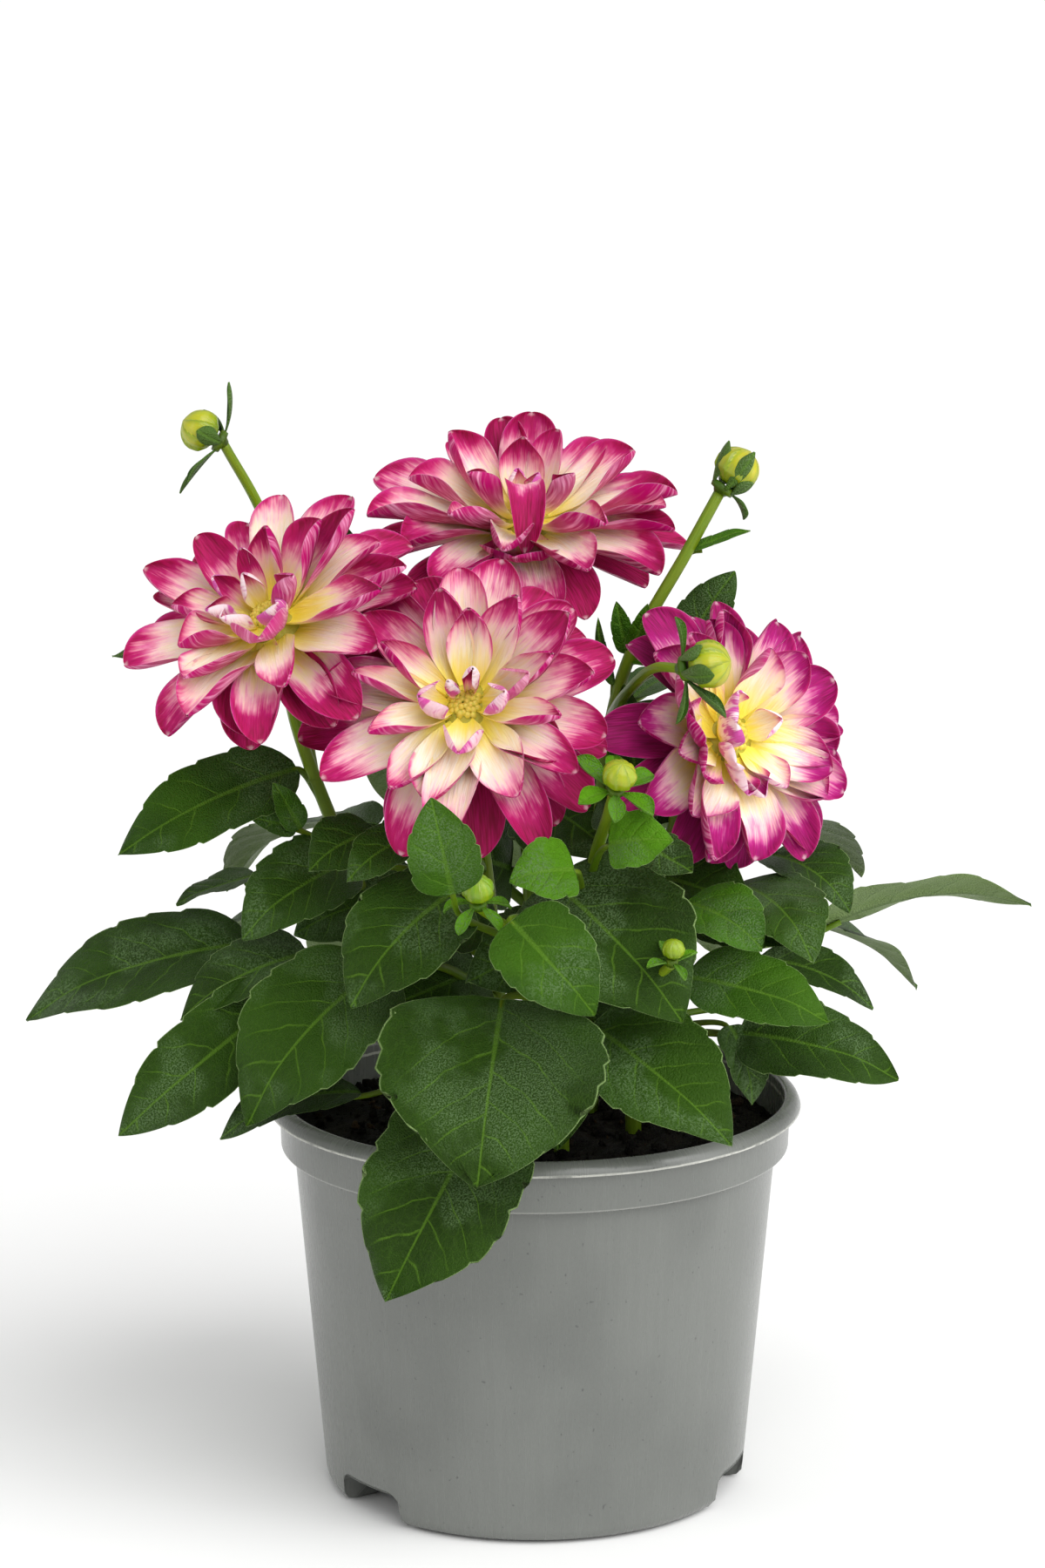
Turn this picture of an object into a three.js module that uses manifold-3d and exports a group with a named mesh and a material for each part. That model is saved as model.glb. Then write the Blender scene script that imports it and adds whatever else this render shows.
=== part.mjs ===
// A dahlia in its nursery pot: pot, soil, six leafy stems, four blooms and six flower buds.
// Millimetres, +Z up. The pot's axis is the Z axis, its foot stands on z = 0, and -Y is the front.
import * as THREE from 'three';
import { mergeVertices } from 'three/addons/utils/BufferGeometryUtils.js';
import Module from 'manifold-3d';

const wasm = await Module();
wasm.setup();

// Driving dimensions of the pot
const potHeight = 106;
const lipRadius = 70;
const bandRadius = 67;
const bandHeight = 14.5;
const bodyTopRadius = 63.3;
const bodyLowRadius = 56;
const footRadius = 50.2;
const footInnerRadius = 44.6;
const floorHeight = 9.6;
const potWall = 1.2;
const potSides = 30;
const notchAngles = [-51.5, 71.5, 190];
const notchWidth = 24;
const notchHeight = 8.9;
const notchCorner = 4.6;
const notchFlare = 1.8;
const drainRadius = 4;
const drainCircle = 30;
const drainCount = 6;

// Driving dimensions of the plant
const gap = 0.3;
const soilHeight = 96.5;
const soilRimHeight = 95;
const stemDepth = 26;
const stemSides = 6;
const holeSides = 8;
const leafThickness = 0.8;
const petalThickness = 0.8;
const petioleRadius = 1.25;
const petioleTipRadius = 0.55;
const receptacleRadius = 7.2;
const coreRadius = 10;
const coreHeight = 9;
const budRadius = 5.2;
const budSeatShare = 0.62;
const bractCount = 4;
const shootShare = 0.75;
const stemEndShare = 0.7;
const stalkReach = 0.45;

const vec = (x, y, z) => new THREE.Vector3(x, y, z);
const up = vec(0, 0, 1);
const rad = THREE.MathUtils.degToRad;
const mix = (a, b, t) => a.clone().lerp(b, t);

// A repeatable wobble from -1 to 1 for item i of series k
function wobble(i, k) {
  const x = i * 0.7548777 + k * 0.5698403;
  return 2 * (x - Math.floor(x)) - 1;
}

// Geometry from points and triangles, turned so that its faces point outwards
function solidGeometry(points, triangles) {
  let volume = 0;
  for (const [a, b, c] of triangles) {
    volume += points[a].dot(points[b].clone().cross(points[c]));
  }
  const order = volume < 0 ? (t) => [t[0], t[2], t[1]] : (t) => t;
  const geometry = new THREE.BufferGeometry();
  geometry.setFromPoints(points);
  geometry.setIndex(triangles.flatMap(order));
  return geometry;
}

// Closed geometry as a solid that can be joined and cut
function toSolid(geometry) {
  const bare = geometry.clone();
  bare.deleteAttribute('normal');
  bare.deleteAttribute('uv');
  const merged = mergeVertices(bare, 1e-4);
  return new wasm.Manifold(new wasm.Mesh({
    numProp: 3,
    vertProperties: new Float32Array(merged.attributes.position.array),
    triVerts: new Uint32Array(merged.index.array),
  }));
}

// The largest body of a solid as geometry, with sealed hollows filled and loose scraps dropped
function toGeometry(solid) {
  const bodies = solid.decompose().sort((a, b) => b.volume() - a.volume());
  const mesh = bodies[0].getMesh();
  const geometry = new THREE.BufferGeometry();
  geometry.setAttribute('position', new THREE.BufferAttribute(mesh.vertProperties, 3));
  geometry.setIndex(new THREE.BufferAttribute(mesh.triVerts, 1));
  return geometry;
}

// All geometries of a list joined in one
function fuse(geometries) {
  const solids = geometries.map(toSolid);
  return toGeometry(solids.reduce((sum, solid) => sum.add(solid)));
}

// A turned body from a profile of [radius, height] points that starts and ends on its axis
function turned(profile, sides) {
  const outline = profile.map(([radius, height]) => new THREE.Vector2(radius, height));
  const lathe = new THREE.LatheGeometry(outline, sides);
  lathe.rotateX(Math.PI / 2);
  lathe.deleteAttribute('normal');
  lathe.deleteAttribute('uv');
  const merged = mergeVertices(lathe, 1e-4);
  const points = [];
  for (let i = 0; i < merged.attributes.position.count; i++) {
    points.push(new THREE.Vector3().fromBufferAttribute(merged.attributes.position, i));
  }
  const triangles = [];
  for (let i = 0; i < merged.index.count; i += 3) {
    const corners = [0, 1, 2].map((k) => merged.index.getX(i + k));
    if (new Set(corners).size === 3) triangles.push(corners);
  }
  return solidGeometry(points, triangles);
}

// Geometry moved so that its own Z axis lies along a direction at a point
function placed(geometry, point, direction) {
  const turn = new THREE.Quaternion().setFromUnitVectors(up, direction.clone().normalize());
  geometry.applyQuaternion(turn);
  geometry.translate(point.x, point.y, point.z);
  return geometry;
}

// A tube along a curve whose radius narrows evenly from its start to its end
function taperedTube(points, startRadius, endRadius, sides, steps) {
  const curve = new THREE.CatmullRomCurve3(points, false, 'centripetal');
  const frames = curve.computeFrenetFrames(steps, false);
  const vertices = [];
  for (let i = 0; i <= steps; i++) {
    const centre = curve.getPointAt(i / steps);
    const radius = THREE.MathUtils.lerp(startRadius, endRadius, i / steps);
    for (let j = 0; j < sides; j++) {
      const angle = (2 * Math.PI * j) / sides;
      vertices.push(centre.clone()
        .addScaledVector(frames.normals[i], radius * Math.cos(angle))
        .addScaledVector(frames.binormals[i], radius * Math.sin(angle)));
    }
  }
  const triangles = [];
  for (let i = 0; i < steps; i++) {
    for (let j = 0; j < sides; j++) {
      const a = i * sides + j;
      const b = i * sides + ((j + 1) % sides);
      triangles.push([a, b, b + sides], [a, b + sides, a + sides]);
    }
  }
  const last = steps * sides;
  for (let j = 1; j < sides - 1; j++) {
    triangles.push([0, j + 1, j], [last, last + j, last + j + 1]);
  }
  return solidGeometry(vertices, triangles);
}

// Triangles between two lines of vertices that share their first and last vertex
function stitch(a, b) {
  const triangles = [];
  let i = 0;
  let j = 0;
  while (i < a.length - 1 || j < b.length - 1) {
    const advanceA = j === b.length - 1 || (i < a.length - 1 && a[i + 1].t <= b[j + 1].t);
    const third = advanceA ? a[i + 1] : b[j + 1];
    const corners = [a[i].index, b[j].index, third.index];
    if (new Set(corners).size === 3) triangles.push(corners);
    if (advanceA) i += 1;
    else j += 1;
  }
  return triangles;
}

// A thin blade, split alike on both faces, from its left edge, middle line and right edge.
// Every point has its place t from root (0) to tip (1), its upper and its lower position.
function blade(root, left, middle, right, tip) {
  const all = [root, ...left, ...middle, ...right, tip];
  all.forEach((point, index) => { point.index = index; });
  const count = all.length;
  const leftLine = [root, ...left, tip];
  const middleLine = [root, ...middle, tip];
  const rightLine = [root, ...right, tip];
  const upper = [
    ...stitch(leftLine, middleLine),
    ...stitch(middleLine, rightLine),
  ];
  const triangles = [
    ...upper,
    ...upper.map(([a, b, c]) => [a + count, c + count, b + count]),
  ];
  const rim = [...rightLine, ...[...left].reverse()].map((point) => point.index);
  rim.forEach((a, i) => {
    const b = rim[(i + 1) % rim.length];
    triangles.push([a, a + count, b + count], [a, b + count, b]);
  });
  const points = [...all.map((point) => point.top), ...all.map((point) => point.bottom)];
  return solidGeometry(points, triangles);
}

// Half width of a leaf at t, as a share of its widest: broad near the base, drawn out to the tip
const leafShape = (t) => Math.min(1, 2.72 * t ** 0.5 * (1 - t) ** 0.85);

// The middle line of a leaf: its chord, arched towards the way its face looks
function leafLine({ root, tip, face, teeth, arch = teeth === 0 ? 0 : 0.1 }) {
  const chord = tip.clone().sub(root);
  const length = chord.length();
  const along = chord.clone().normalize();
  const normal = face.clone().addScaledVector(along, -face.dot(along)).normalize();
  const across = normal.clone().cross(along);
  const centre = (t) => root.clone()
    .addScaledVector(chord, t)
    .addScaledVector(normal, arch * length * 4 * t * (1 - t));
  return { normal, across, centre };
}

// A leaf blade: an arched, slightly folded plane with teeth that point to the tip
function leafBlade(leaf) {
  const { width, fold = 0.16, teeth = width < 26 ? 2 : 3 } = leaf;
  const { normal, across, centre } = leafLine(leaf);
  const point = (t, offset, lift = 0) => {
    const top = centre(t)
      .addScaledVector(across, offset)
      .addScaledVector(normal, fold * Math.abs(offset) + lift);
    return { t, top, bottom: top.clone().addScaledVector(normal, -leafThickness) };
  };
  const edge = (side) => {
    const half = (t) => side * (width / 2) * leafShape(t);
    if (teeth === 0) return [point(0.42, half(0.42))];
    const points = [point(0.06, half(0.06))];
    for (let k = 0; k < teeth; k++) {
      const t = 0.3 + (0.6 * k) / (teeth - 1);
      const lift = 0.02 * width * wobble(k, side + 2);
      points.push(point(t, half(t), lift), point(t + 0.025, 0.84 * half(t + 0.025), lift));
    }
    return points;
  };
  const middle = teeth === 0 ? [] : [0.2, 0.5, 0.8].map((t) => point(t, 0));
  return blade(point(0, 0), edge(-1), middle, edge(1), point(1, 0));
}

// Half width of a petal at t, as a share of its widest: narrow foot, full middle, blunt tip
function petalShape(t) {
  if (t < 0.58) return 0.34 + 0.66 * Math.sin((Math.PI / 2) * (t / 0.58));
  return Math.max(0, Math.cos((Math.PI / 2) * ((t - 0.58) / 0.42) ** 1.3)) ** 0.8;
}

// A petal: a cupped strip along an arc that starts at one elevation over the bloom's plane and
// ends at another. Out, axis and side are the petal's three directions at its foot.
function petalBlade({ foot, out, axis, side, length, width, rise, bend, cup, stations }) {
  const turn = rad(bend - rise);
  const centre = (t) => {
    const start = rad(rise);
    const end = start + turn * t;
    const reach = (length / turn) * (Math.sin(end) - Math.sin(start));
    const height = (length / turn) * (Math.cos(start) - Math.cos(end));
    return foot.clone().addScaledVector(out, reach).addScaledVector(axis, height);
  };
  const point = (t, u) => {
    const slope = rad(rise) + turn * t;
    const normal = out.clone().multiplyScalar(-Math.sin(slope))
      .addScaledVector(axis, Math.cos(slope));
    const half = (width / 2) * petalShape(t);
    const curl = rad(cup) * u;
    const top = centre(t)
      .addScaledVector(side, (half * Math.sin(curl)) / rad(cup))
      .addScaledVector(normal, (half * (1 - Math.cos(curl))) / rad(cup));
    const inward = normal.clone().multiplyScalar(Math.cos(curl))
      .addScaledVector(side, -Math.sin(curl));
    return { t, top, bottom: top.clone().addScaledVector(inward, -petalThickness) };
  };
  const line = (u) => stations.map((t) => point(t, u));
  return blade(point(0, 0), line(-1), line(0), line(1), point(1, 0));
}

// The three directions of a bloom or bud: its right, its upper side and its axis
function faceFrame(axis) {
  const normal = axis.clone().normalize();
  const right = up.clone().cross(normal).normalize();
  return { right, rise: normal.clone().cross(right), normal };
}

// Petals stand in one spiral from the outermost (s = 0) to the heart (s = 1), each turned on by
// the golden angle: they grow shorter and steeper inwards, and the last ones curl over the heart
const petalCount = 33;
const goldenAngle = 137.508;
const heartStart = 0.64;
const petalStations = (s) => (s < heartStart ? [0.42, 0.84] : [0.66]);
const petalRule = {
  length: (s) => 36 - 5 * s - 19 * s ** 2.6,
  width: (s) => 17.6 - 9 * s ** 2,
  rise: (s) => 1 + 76 * s,
  bend: (s) => -24 + 52 * s + 62 * s ** 5,
  cup: (s) => 22 + 38 * s ** 2,
  foot: (s) => 8 - 5.5 * s,
  level: (s) => 2.3 + 4.4 * s,
};

// A bloom: a low dome with its spiral of petals, flat below, just over the stem's receptacle
function bloomGeometry({ centre, axis, size = 1, phase = 0 }) {
  const { right, rise, normal } = faceFrame(axis);
  const core = turned([
    [0, gap],
    [receptacleRadius, gap],
    [coreRadius, coreHeight * 0.4],
    [coreRadius * 0.7, coreHeight * 0.85],
    [0, coreHeight],
  ], 8);
  const pieces = [placed(core, centre, normal)];
  for (let k = 0; k < petalCount; k++) {
    const s = k / (petalCount - 1);
    const draw = wobble(k, phase);
    const other = wobble(k, phase + 5);
    const azimuth = rad(phase + goldenAngle * k + 4 * other);
    const out = right.clone().multiplyScalar(Math.cos(azimuth))
      .addScaledVector(rise, Math.sin(azimuth));
    pieces.push(petalBlade({
      foot: centre.clone()
        .addScaledVector(out, petalRule.foot(s))
        .addScaledVector(normal, petalRule.level(s)),
      out,
      axis: normal,
      side: normal.clone().cross(out),
      length: size * petalRule.length(s) * (1 + 0.05 * other),
      width: size * petalRule.width(s) * (1 + 0.06 * draw),
      rise: petalRule.rise(s) + 2 * other,
      bend: petalRule.bend(s) + 5 * draw,
      cup: petalRule.cup(s),
      stations: petalStations(s),
    }));
  }
  return fuse(pieces);
}

// A bud: a ball of folded young petals with five soft ridges, cut flat below
function budGeometry({ centre, axis, size = 1 }) {
  const sides = 10;
  const ball = turned([
    [0, gap],
    [budRadius * 0.5, gap],
    [budRadius * 0.94, budRadius * 0.5],
    [budRadius, budRadius],
    [budRadius * 0.76, budRadius * 1.6],
    [0, budRadius * 1.95],
  ], sides);
  const position = ball.attributes.position;
  for (let i = 0; i < position.count; i++) {
    const angle = Math.atan2(position.getY(i), position.getX(i));
    const share = position.getZ(i) > gap ? 1 + 0.05 * Math.cos(5 * angle) : 1;
    position.setX(i, position.getX(i) * share * size);
    position.setY(i, position.getY(i) * share * size);
    position.setZ(i, gap + (position.getZ(i) - gap) * size);
  }
  return placed(ball, centre, axis);
}

// Where the blooms and buds sit: centre is the top of the receptacle that carries each
const blooms = [
  {
    name: 'bloom_back',
    centre: vec(-3, 31, 247),
    axis: vec(0, -0.3, 0.95),
    size: 1.02,
    phase: 0,
  },
  {
    name: 'bloom_left',
    centre: vec(-65, -25, 232),
    axis: vec(-0.36, -0.56, 0.75),
    size: 0.92,
    phase: 56,
  },
  {
    name: 'bloom_front',
    centre: vec(-17, -39, 214),
    axis: vec(-0.05, -0.82, 0.57),
    size: 0.97,
    phase: 54,
  },
  {
    name: 'bloom_right',
    centre: vec(46, -18, 203),
    axis: vec(0.6, -0.7, 0.38),
    size: 0.9,
    phase: 60,
  },
];
const buds = [
  { name: 'bud_left', centre: vec(-82, 8, 277), axis: vec(-0.85, -0.1, 0.5), size: 0.95 },
  { name: 'bud_right', centre: vec(49, 9, 265), axis: vec(0.6, 0.1, 0.8), size: 1.05 },
  { name: 'bud_middle', centre: vec(38, -54, 229), axis: vec(0.93, -0.3, 0.2), size: 1.05 },
  { name: 'bud_front', centre: vec(20, -64, 201), axis: vec(0.2, -0.5, 0.85), size: 0.75 },
  { name: 'bud_low', centre: vec(-14, -72, 174), axis: vec(0, -0.4, 0.9), size: 0.7 },
  { name: 'bud_hidden', centre: vec(34, -66, 158), axis: vec(0.1, -0.3, 0.9), size: 0.5 },
];
const byName = (list, name) => list.find((item) => item.name === name);

// Stems: the way of each from the soil to its flower, and side shoots that leave it
const stems = [
  {
    name: 'stem_left',
    radius: 2.2,
    foot: [-24, 4],
    way: [vec(-35, 2, 135), vec(-51, -4, 175), vec(-61, -10, 205)],
    end: 'bloom_left',
    shoots: [{ way: [vec(-57, -7, 190), vec(-64, 12, 225), vec(-70, 12, 255)], end: 'bud_left' }],
  },
  {
    name: 'stem_back',
    radius: 2.3,
    foot: [2, 20],
    way: [vec(-1, 23, 150), vec(-4, 27, 205), vec(-4, 33, 232)],
    end: 'bloom_back',
    shoots: [],
  },
  {
    name: 'stem_front',
    radius: 2.3,
    foot: [-8, -8],
    way: [vec(-10, -10, 140), vec(-14, -16, 180), vec(-17, -27, 201)],
    end: 'bloom_front',
    shoots: [],
  },
  {
    name: 'stem_right',
    radius: 2.2,
    foot: [26, -4],
    way: [vec(29, -6, 140), vec(35, -8, 175), vec(40, -12, 194)],
    end: 'bloom_right',
    shoots: [],
  },
  {
    name: 'stem_bud_right',
    radius: 2.1,
    foot: [15, 14],
    way: [vec(16, 10, 150), vec(19, 2, 200), vec(25, 0, 223), vec(39, 4, 248)],
    end: 'bud_right',
    shoots: [{ way: [vec(20, 1, 206), vec(23, -22, 216), vec(30, -44, 227)], end: 'bud_middle' }],
  },
  {
    name: 'stem_bud_front',
    radius: 2.1,
    foot: [7, -26],
    way: [vec(9, -31, 130), vec(12, -37, 160), vec(15, -43, 178), vec(18, -58, 192)],
    end: 'bud_front',
    shoots: [
      { way: [vec(10, -34, 146), vec(-4, -58, 162)], end: 'bud_low' },
      { way: [vec(10, -32, 138), vec(28, -60, 150)], end: 'bud_hidden' },
    ],
  },
];

// Leaves of each stem: root, tip, width and the way the upper face looks, which is up and out
// from the plant where no way is given
const leaves = {
  stem_left: [
    { root: vec(-61, -8, 194), tip: vec(-107, -20, 174), width: 23, face: vec(-0.1, -0.85, 0.5), teeth: 4 },
    { root: vec(-73, 4, 163), tip: vec(-94, 0, 157), width: 15, face: vec(0, -0.1, 1) },
    { root: vec(-73, -5, 147), tip: vec(-133, -12, 130), width: 34, face: vec(-0.1, -0.5, 0.85), teeth: 4 },
    { root: vec(-58, -24, 149), tip: vec(-91, -32, 134), width: 24, face: vec(-0.1, -0.5, 0.85) },
    { root: vec(-63, -30, 140), tip: vec(-106, -46, 107), width: 25, face: vec(0.3, -0.8, 0.6) },
    { root: vec(-68, 6, 226), tip: vec(-110, 6, 222), width: 14, face: vec(0, -0.5, 0.85) },
  ],
  stem_back: [
    { root: vec(-36, 14, 226), tip: vec(-52, 4, 258), width: 18, face: vec(-0.5, -0.7, 0.5) },
    { root: vec(-20, 48, 190), tip: vec(-42, 86, 168), width: 38 },
    { root: vec(0, 52, 165), tip: vec(-6, 98, 140), width: 40 },
    { root: vec(-42, 34, 170), tip: vec(-86, 62, 150), width: 38 },
    { root: vec(-30, 44, 140), tip: vec(-58, 84, 116), width: 32 },
    { root: vec(-52, 18, 150), tip: vec(-104, 34, 128), width: 30 },
    { root: vec(0, 50, 132), tip: vec(10, 90, 108), width: 30 },
    { root: vec(-48, 26, 124), tip: vec(-84, 46, 112), width: 24 },
    { root: vec(-14, 40, 215), tip: vec(-32, 60, 222), width: 18 },
  ],
  stem_front: [
    { root: vec(-47, -18, 172), tip: vec(-75, -32, 156), width: 28, face: vec(-0.2, -0.7, 0.7) },
    { root: vec(-40, -34, 183), tip: vec(-57, -42, 175), width: 18, face: vec(0, -0.6, 0.8) },
    { root: vec(-27, -44, 185), tip: vec(-47, -54, 175), width: 16, face: vec(0, -0.6, 0.8) },
    { root: vec(-20, -48, 171), tip: vec(-46, -66, 146), width: 31, face: vec(-0.1, -0.75, 0.65) },
    { root: vec(-38, -40, 150), tip: vec(-73, -62, 115), width: 38, face: vec(-0.1, -0.7, 0.7) },
    { root: vec(-44, -42, 117), tip: vec(-80, -50, 108), width: 18, face: vec(0, -0.3, 0.95) },
  ],
  stem_right: [
    { root: vec(14, -50, 137), tip: vec(49, -76, 114), width: 37, face: vec(0.1, -0.7, 0.7) },
    { root: vec(38, -45, 148), tip: vec(74, -54, 140), width: 23, face: vec(0.1, -0.7, 0.7) },
    { root: vec(58, -10, 144), tip: vec(88, -14, 132), width: 18, face: vec(0, -0.4, 0.9) },
    { root: vec(52, -28, 129), tip: vec(93, -38, 121), width: 28, face: vec(0, -0.6, 0.8) },
    { root: vec(71, 6, 147), tip: vec(130, 8, 156), width: 26, face: vec(0, 0.5, 0.87) },
    { root: vec(52, -18, 166), tip: vec(70, -48, 155), width: 27, face: vec(0.1, -0.5, 0.85) },
    { root: vec(61, -6, 171), tip: vec(81, -22, 160), width: 24, face: vec(0.2, -0.4, 0.9) },
    { root: vec(38, -39, 166), tip: vec(57, -54, 158), width: 22, face: vec(0.1, -0.6, 0.8) },
    { root: vec(40, -30, 158), tip: vec(67, -42, 157), width: 14, face: vec(0, -0.6, 0.8) },
    { root: vec(28, -52, 184), tip: vec(39, -60, 179), width: 13, face: vec(0, -0.7, 0.7), teeth: 0 },
    { root: vec(50, -28, 131), tip: vec(56, -36, 112), width: 16, face: vec(0.6, -0.7, 0.3) },
  ],
  stem_bud_right: [
    { root: vec(37, 14, 217), tip: vec(52, 20, 241), width: 15, face: vec(-0.3, -0.9, 0.2), teeth: 0 },
    { root: vec(24, 2, 222), tip: vec(21, 0, 236), width: 6, face: vec(0, -1, 0.2), teeth: 0 },
    { root: vec(40, 5, 249), tip: vec(55, 3, 255), width: 5, face: vec(0, -0.4, 0.9), teeth: 0 },
    { root: vec(20, 46, 186), tip: vec(36, 88, 160), width: 40 },
    { root: vec(46, 32, 172), tip: vec(90, 58, 152), width: 38 },
    { root: vec(28, 46, 138), tip: vec(60, 84, 118), width: 32 },
    { root: vec(54, 25, 147), tip: vec(104, 38, 126), width: 30 },
    { root: vec(50, 28, 122), tip: vec(86, 42, 112), width: 24 },
    { root: vec(26, 30, 205), tip: vec(46, 54, 206), width: 18 },
  ],
  stem_bud_front: [
    { root: vec(-8, -62, 147), tip: vec(-14, -98, 110), width: 60, face: vec(0, -0.7, 0.7), teeth: 4 },
    { root: vec(-13, -68, 119), tip: vec(-37, -90, 77), width: 42, face: vec(-0.1, -0.85, 0.5), teeth: 4 },
    { root: vec(-6, -79, 171), tip: vec(15, -89, 150), width: 26, face: vec(0.1, -0.8, 0.6) },
    { root: vec(-2, -46, 132), tip: vec(6, -64, 109), width: 30, face: vec(0, -0.7, 0.7) },
    { root: vec(10, -68, 181), tip: vec(-6, -74, 180), width: 18, face: vec(0, -0.8, 0.6) },
    {
      root: vec(-20, -83, 178), tip: vec(-25, -88, 203), width: 19,
      face: vec(0, -1, 0.1), sway: vec(-12, -2, -4),
    },
    { root: vec(18, -62, 186), tip: vec(34, -66, 188), width: 16, face: vec(0, -0.85, 0.5) },
    { root: vec(4, -45, 173), tip: vec(37, -68, 143), width: 46, face: vec(0.1, -0.7, 0.7), teeth: 4 },
  ],
};

// The pot: a thin turned wall and floor on a foot ring, with three round-shouldered
// notches cut across the ring and round drain holes in the floor
function potGeometry() {
  const bandFoot = potHeight - bandHeight;
  const shell = turned([
    [0, floorHeight],
    [footInnerRadius, floorHeight],
    [footInnerRadius, 0],
    [footRadius, 0],
    [footRadius + 3.6, 0.9],
    [footRadius + 5.2, 2.8],
    [bodyLowRadius, 9],
    [bodyTopRadius, bandFoot],
    [bandRadius - 0.3, bandFoot + 0.5],
    [bandRadius, potHeight - 4.2],
    [lipRadius, potHeight - 3.6],
    [lipRadius - 0.8, potHeight - 1.2],
    [lipRadius - 3, potHeight],
    [bandRadius - 1.5, potHeight - 0.6],
    [bandRadius - 1.6, bandFoot + 2],
    [bodyTopRadius - potWall, bandFoot + 1.2],
    [bodyLowRadius - potWall, floorHeight + potWall],
    [0, floorHeight + potWall],
  ], potSides);
  let solid = toSolid(shell);
  const notch = new THREE.Shape();
  const half = notchWidth / 2;
  const inset = half - notchCorner;
  const shoulder = notchHeight - notchCorner;
  const mouth = half + notchFlare;
  notch.moveTo(-mouth, -2);
  notch.lineTo(mouth, -2);
  notch.absarc(mouth, notchFlare, notchFlare, -Math.PI / 2, -Math.PI, true);
  notch.absarc(inset, shoulder, notchCorner, 0, Math.PI / 2, false);
  notch.absarc(-inset, shoulder, notchCorner, Math.PI / 2, Math.PI, false);
  notch.absarc(-mouth, notchFlare, notchFlare, 0, -Math.PI / 2, true);
  for (const angle of notchAngles) {
    const block = new THREE.ExtrudeGeometry(notch, {
      depth: 24,
      bevelEnabled: false,
      curveSegments: 2,
    });
    block.rotateX(Math.PI / 2);
    block.translate(0, -36, 0);
    block.rotateZ(rad(angle));
    solid = solid.subtract(toSolid(block));
  }
  for (let k = 0; k < drainCount; k++) {
    const angle = rad((360 * k) / drainCount);
    const drill = new THREE.CylinderGeometry(drainRadius, drainRadius, 8, 8);
    drill.rotateX(Math.PI / 2);
    drill.translate(drainCircle * Math.cos(angle), drainCircle * Math.sin(angle), floorHeight);
    solid = solid.subtract(toSolid(drill));
  }
  return toGeometry(solid);
}

// The soil fills the pot to just below its rim, with a plain hole for each stem
function soilGeometry() {
  const bandFoot = potHeight - bandHeight;
  const fill = turned([
    [0, floorHeight + potWall + gap],
    [bodyLowRadius - potWall - gap, floorHeight + potWall + gap],
    [bodyTopRadius - potWall - gap, bandFoot + 1.2 + 2 * gap],
    [bandRadius - 1.6 - gap, bandFoot + 2 + 2 * gap],
    [bandRadius - 1.6 - gap, soilRimHeight],
    [34, soilHeight],
    [0, soilHeight],
  ], potSides);
  const position = fill.attributes.position;
  for (let i = 0; i < position.count; i++) {
    const x = position.getX(i);
    const y = position.getY(i);
    if (position.getZ(i) > soilRimHeight + 0.5) {
      position.setZ(i, position.getZ(i) + 0.7 * Math.sin(0.21 * x) * Math.cos(0.17 * y + 1));
    }
  }
  let solid = toSolid(fill);
  for (const { foot: [x, y], radius } of stems) {
    const hole = radius + 1.5 * gap;
    const drill = new THREE.CylinderGeometry(hole, hole, stemDepth * 2, holeSides);
    drill.rotateX(Math.PI / 2);
    drill.translate(x, y, soilHeight + gap);
    solid = solid.subtract(toSolid(drill));
  }
  return toGeometry(solid);
}

// The end of a stem: a cone that opens to the flat disc under a bloom or a bud, with its bracts
function flowerSeat(end) {
  const bloom = byName(blooms, end);
  const { centre, axis, size = 1 } = bloom ?? byName(buds, end);
  const { right, rise, normal } = faceFrame(axis);
  const radius = bloom ? receptacleRadius : budRadius * budSeatShare * size;
  const cone = turned([
    [0, -radius],
    [radius * 0.3, -radius],
    [radius, -1.4],
    [radius, 0],
    [0, 0],
  ], 8);
  const pieces = [placed(cone, centre, normal)];
  for (let k = 0; k < bractCount; k++) {
    const azimuth = rad((360 * k) / bractCount + 40);
    const out = right.clone().multiplyScalar(Math.cos(azimuth))
      .addScaledVector(rise, Math.sin(azimuth));
    const root = centre.clone()
      .addScaledVector(out, radius - 1.2)
      .addScaledVector(normal, -1.8);
    const length = bloom ? 14 : 10 * size + 2 * wobble(k, 3);
    const drop = bloom ? -0.8 : -0.45 + 0.3 * wobble(k, 5);
    const tip = root.clone()
      .addScaledVector(out, length)
      .addScaledVector(normal, drop * length);
    const width = bloom ? 6 : 5 * size;
    const face = normal.clone().add(out);
    pieces.push(leafBlade({ root, tip, width, face, fold: 0.1, teeth: 0 }));
  }
  return pieces;
}

// The points of a stem from the bottom of its hole, and the two that lead it to its flower
function stemPoints({ foot, way, end }) {
  const { centre, axis } = byName(blooms, end) ?? byName(buds, end);
  const normal = axis.clone().normalize();
  const start = foot
    ? [-stemDepth + 2 * gap, -4, 9].map((z) => vec(foot[0], foot[1], soilHeight + z))
    : [];
  return [...start, ...way, centre.clone().addScaledVector(normal, -2)];
}

// The point of a stem's line at a height
function stemAt(points, height) {
  const curve = new THREE.CatmullRomCurve3(points, false, 'centripetal');
  const steps = 60;
  for (let i = 0; i <= steps; i++) {
    const point = curve.getPointAt(i / steps);
    if (point.z >= height) return point;
  }
  return curve.getPointAt(1);
}

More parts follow.
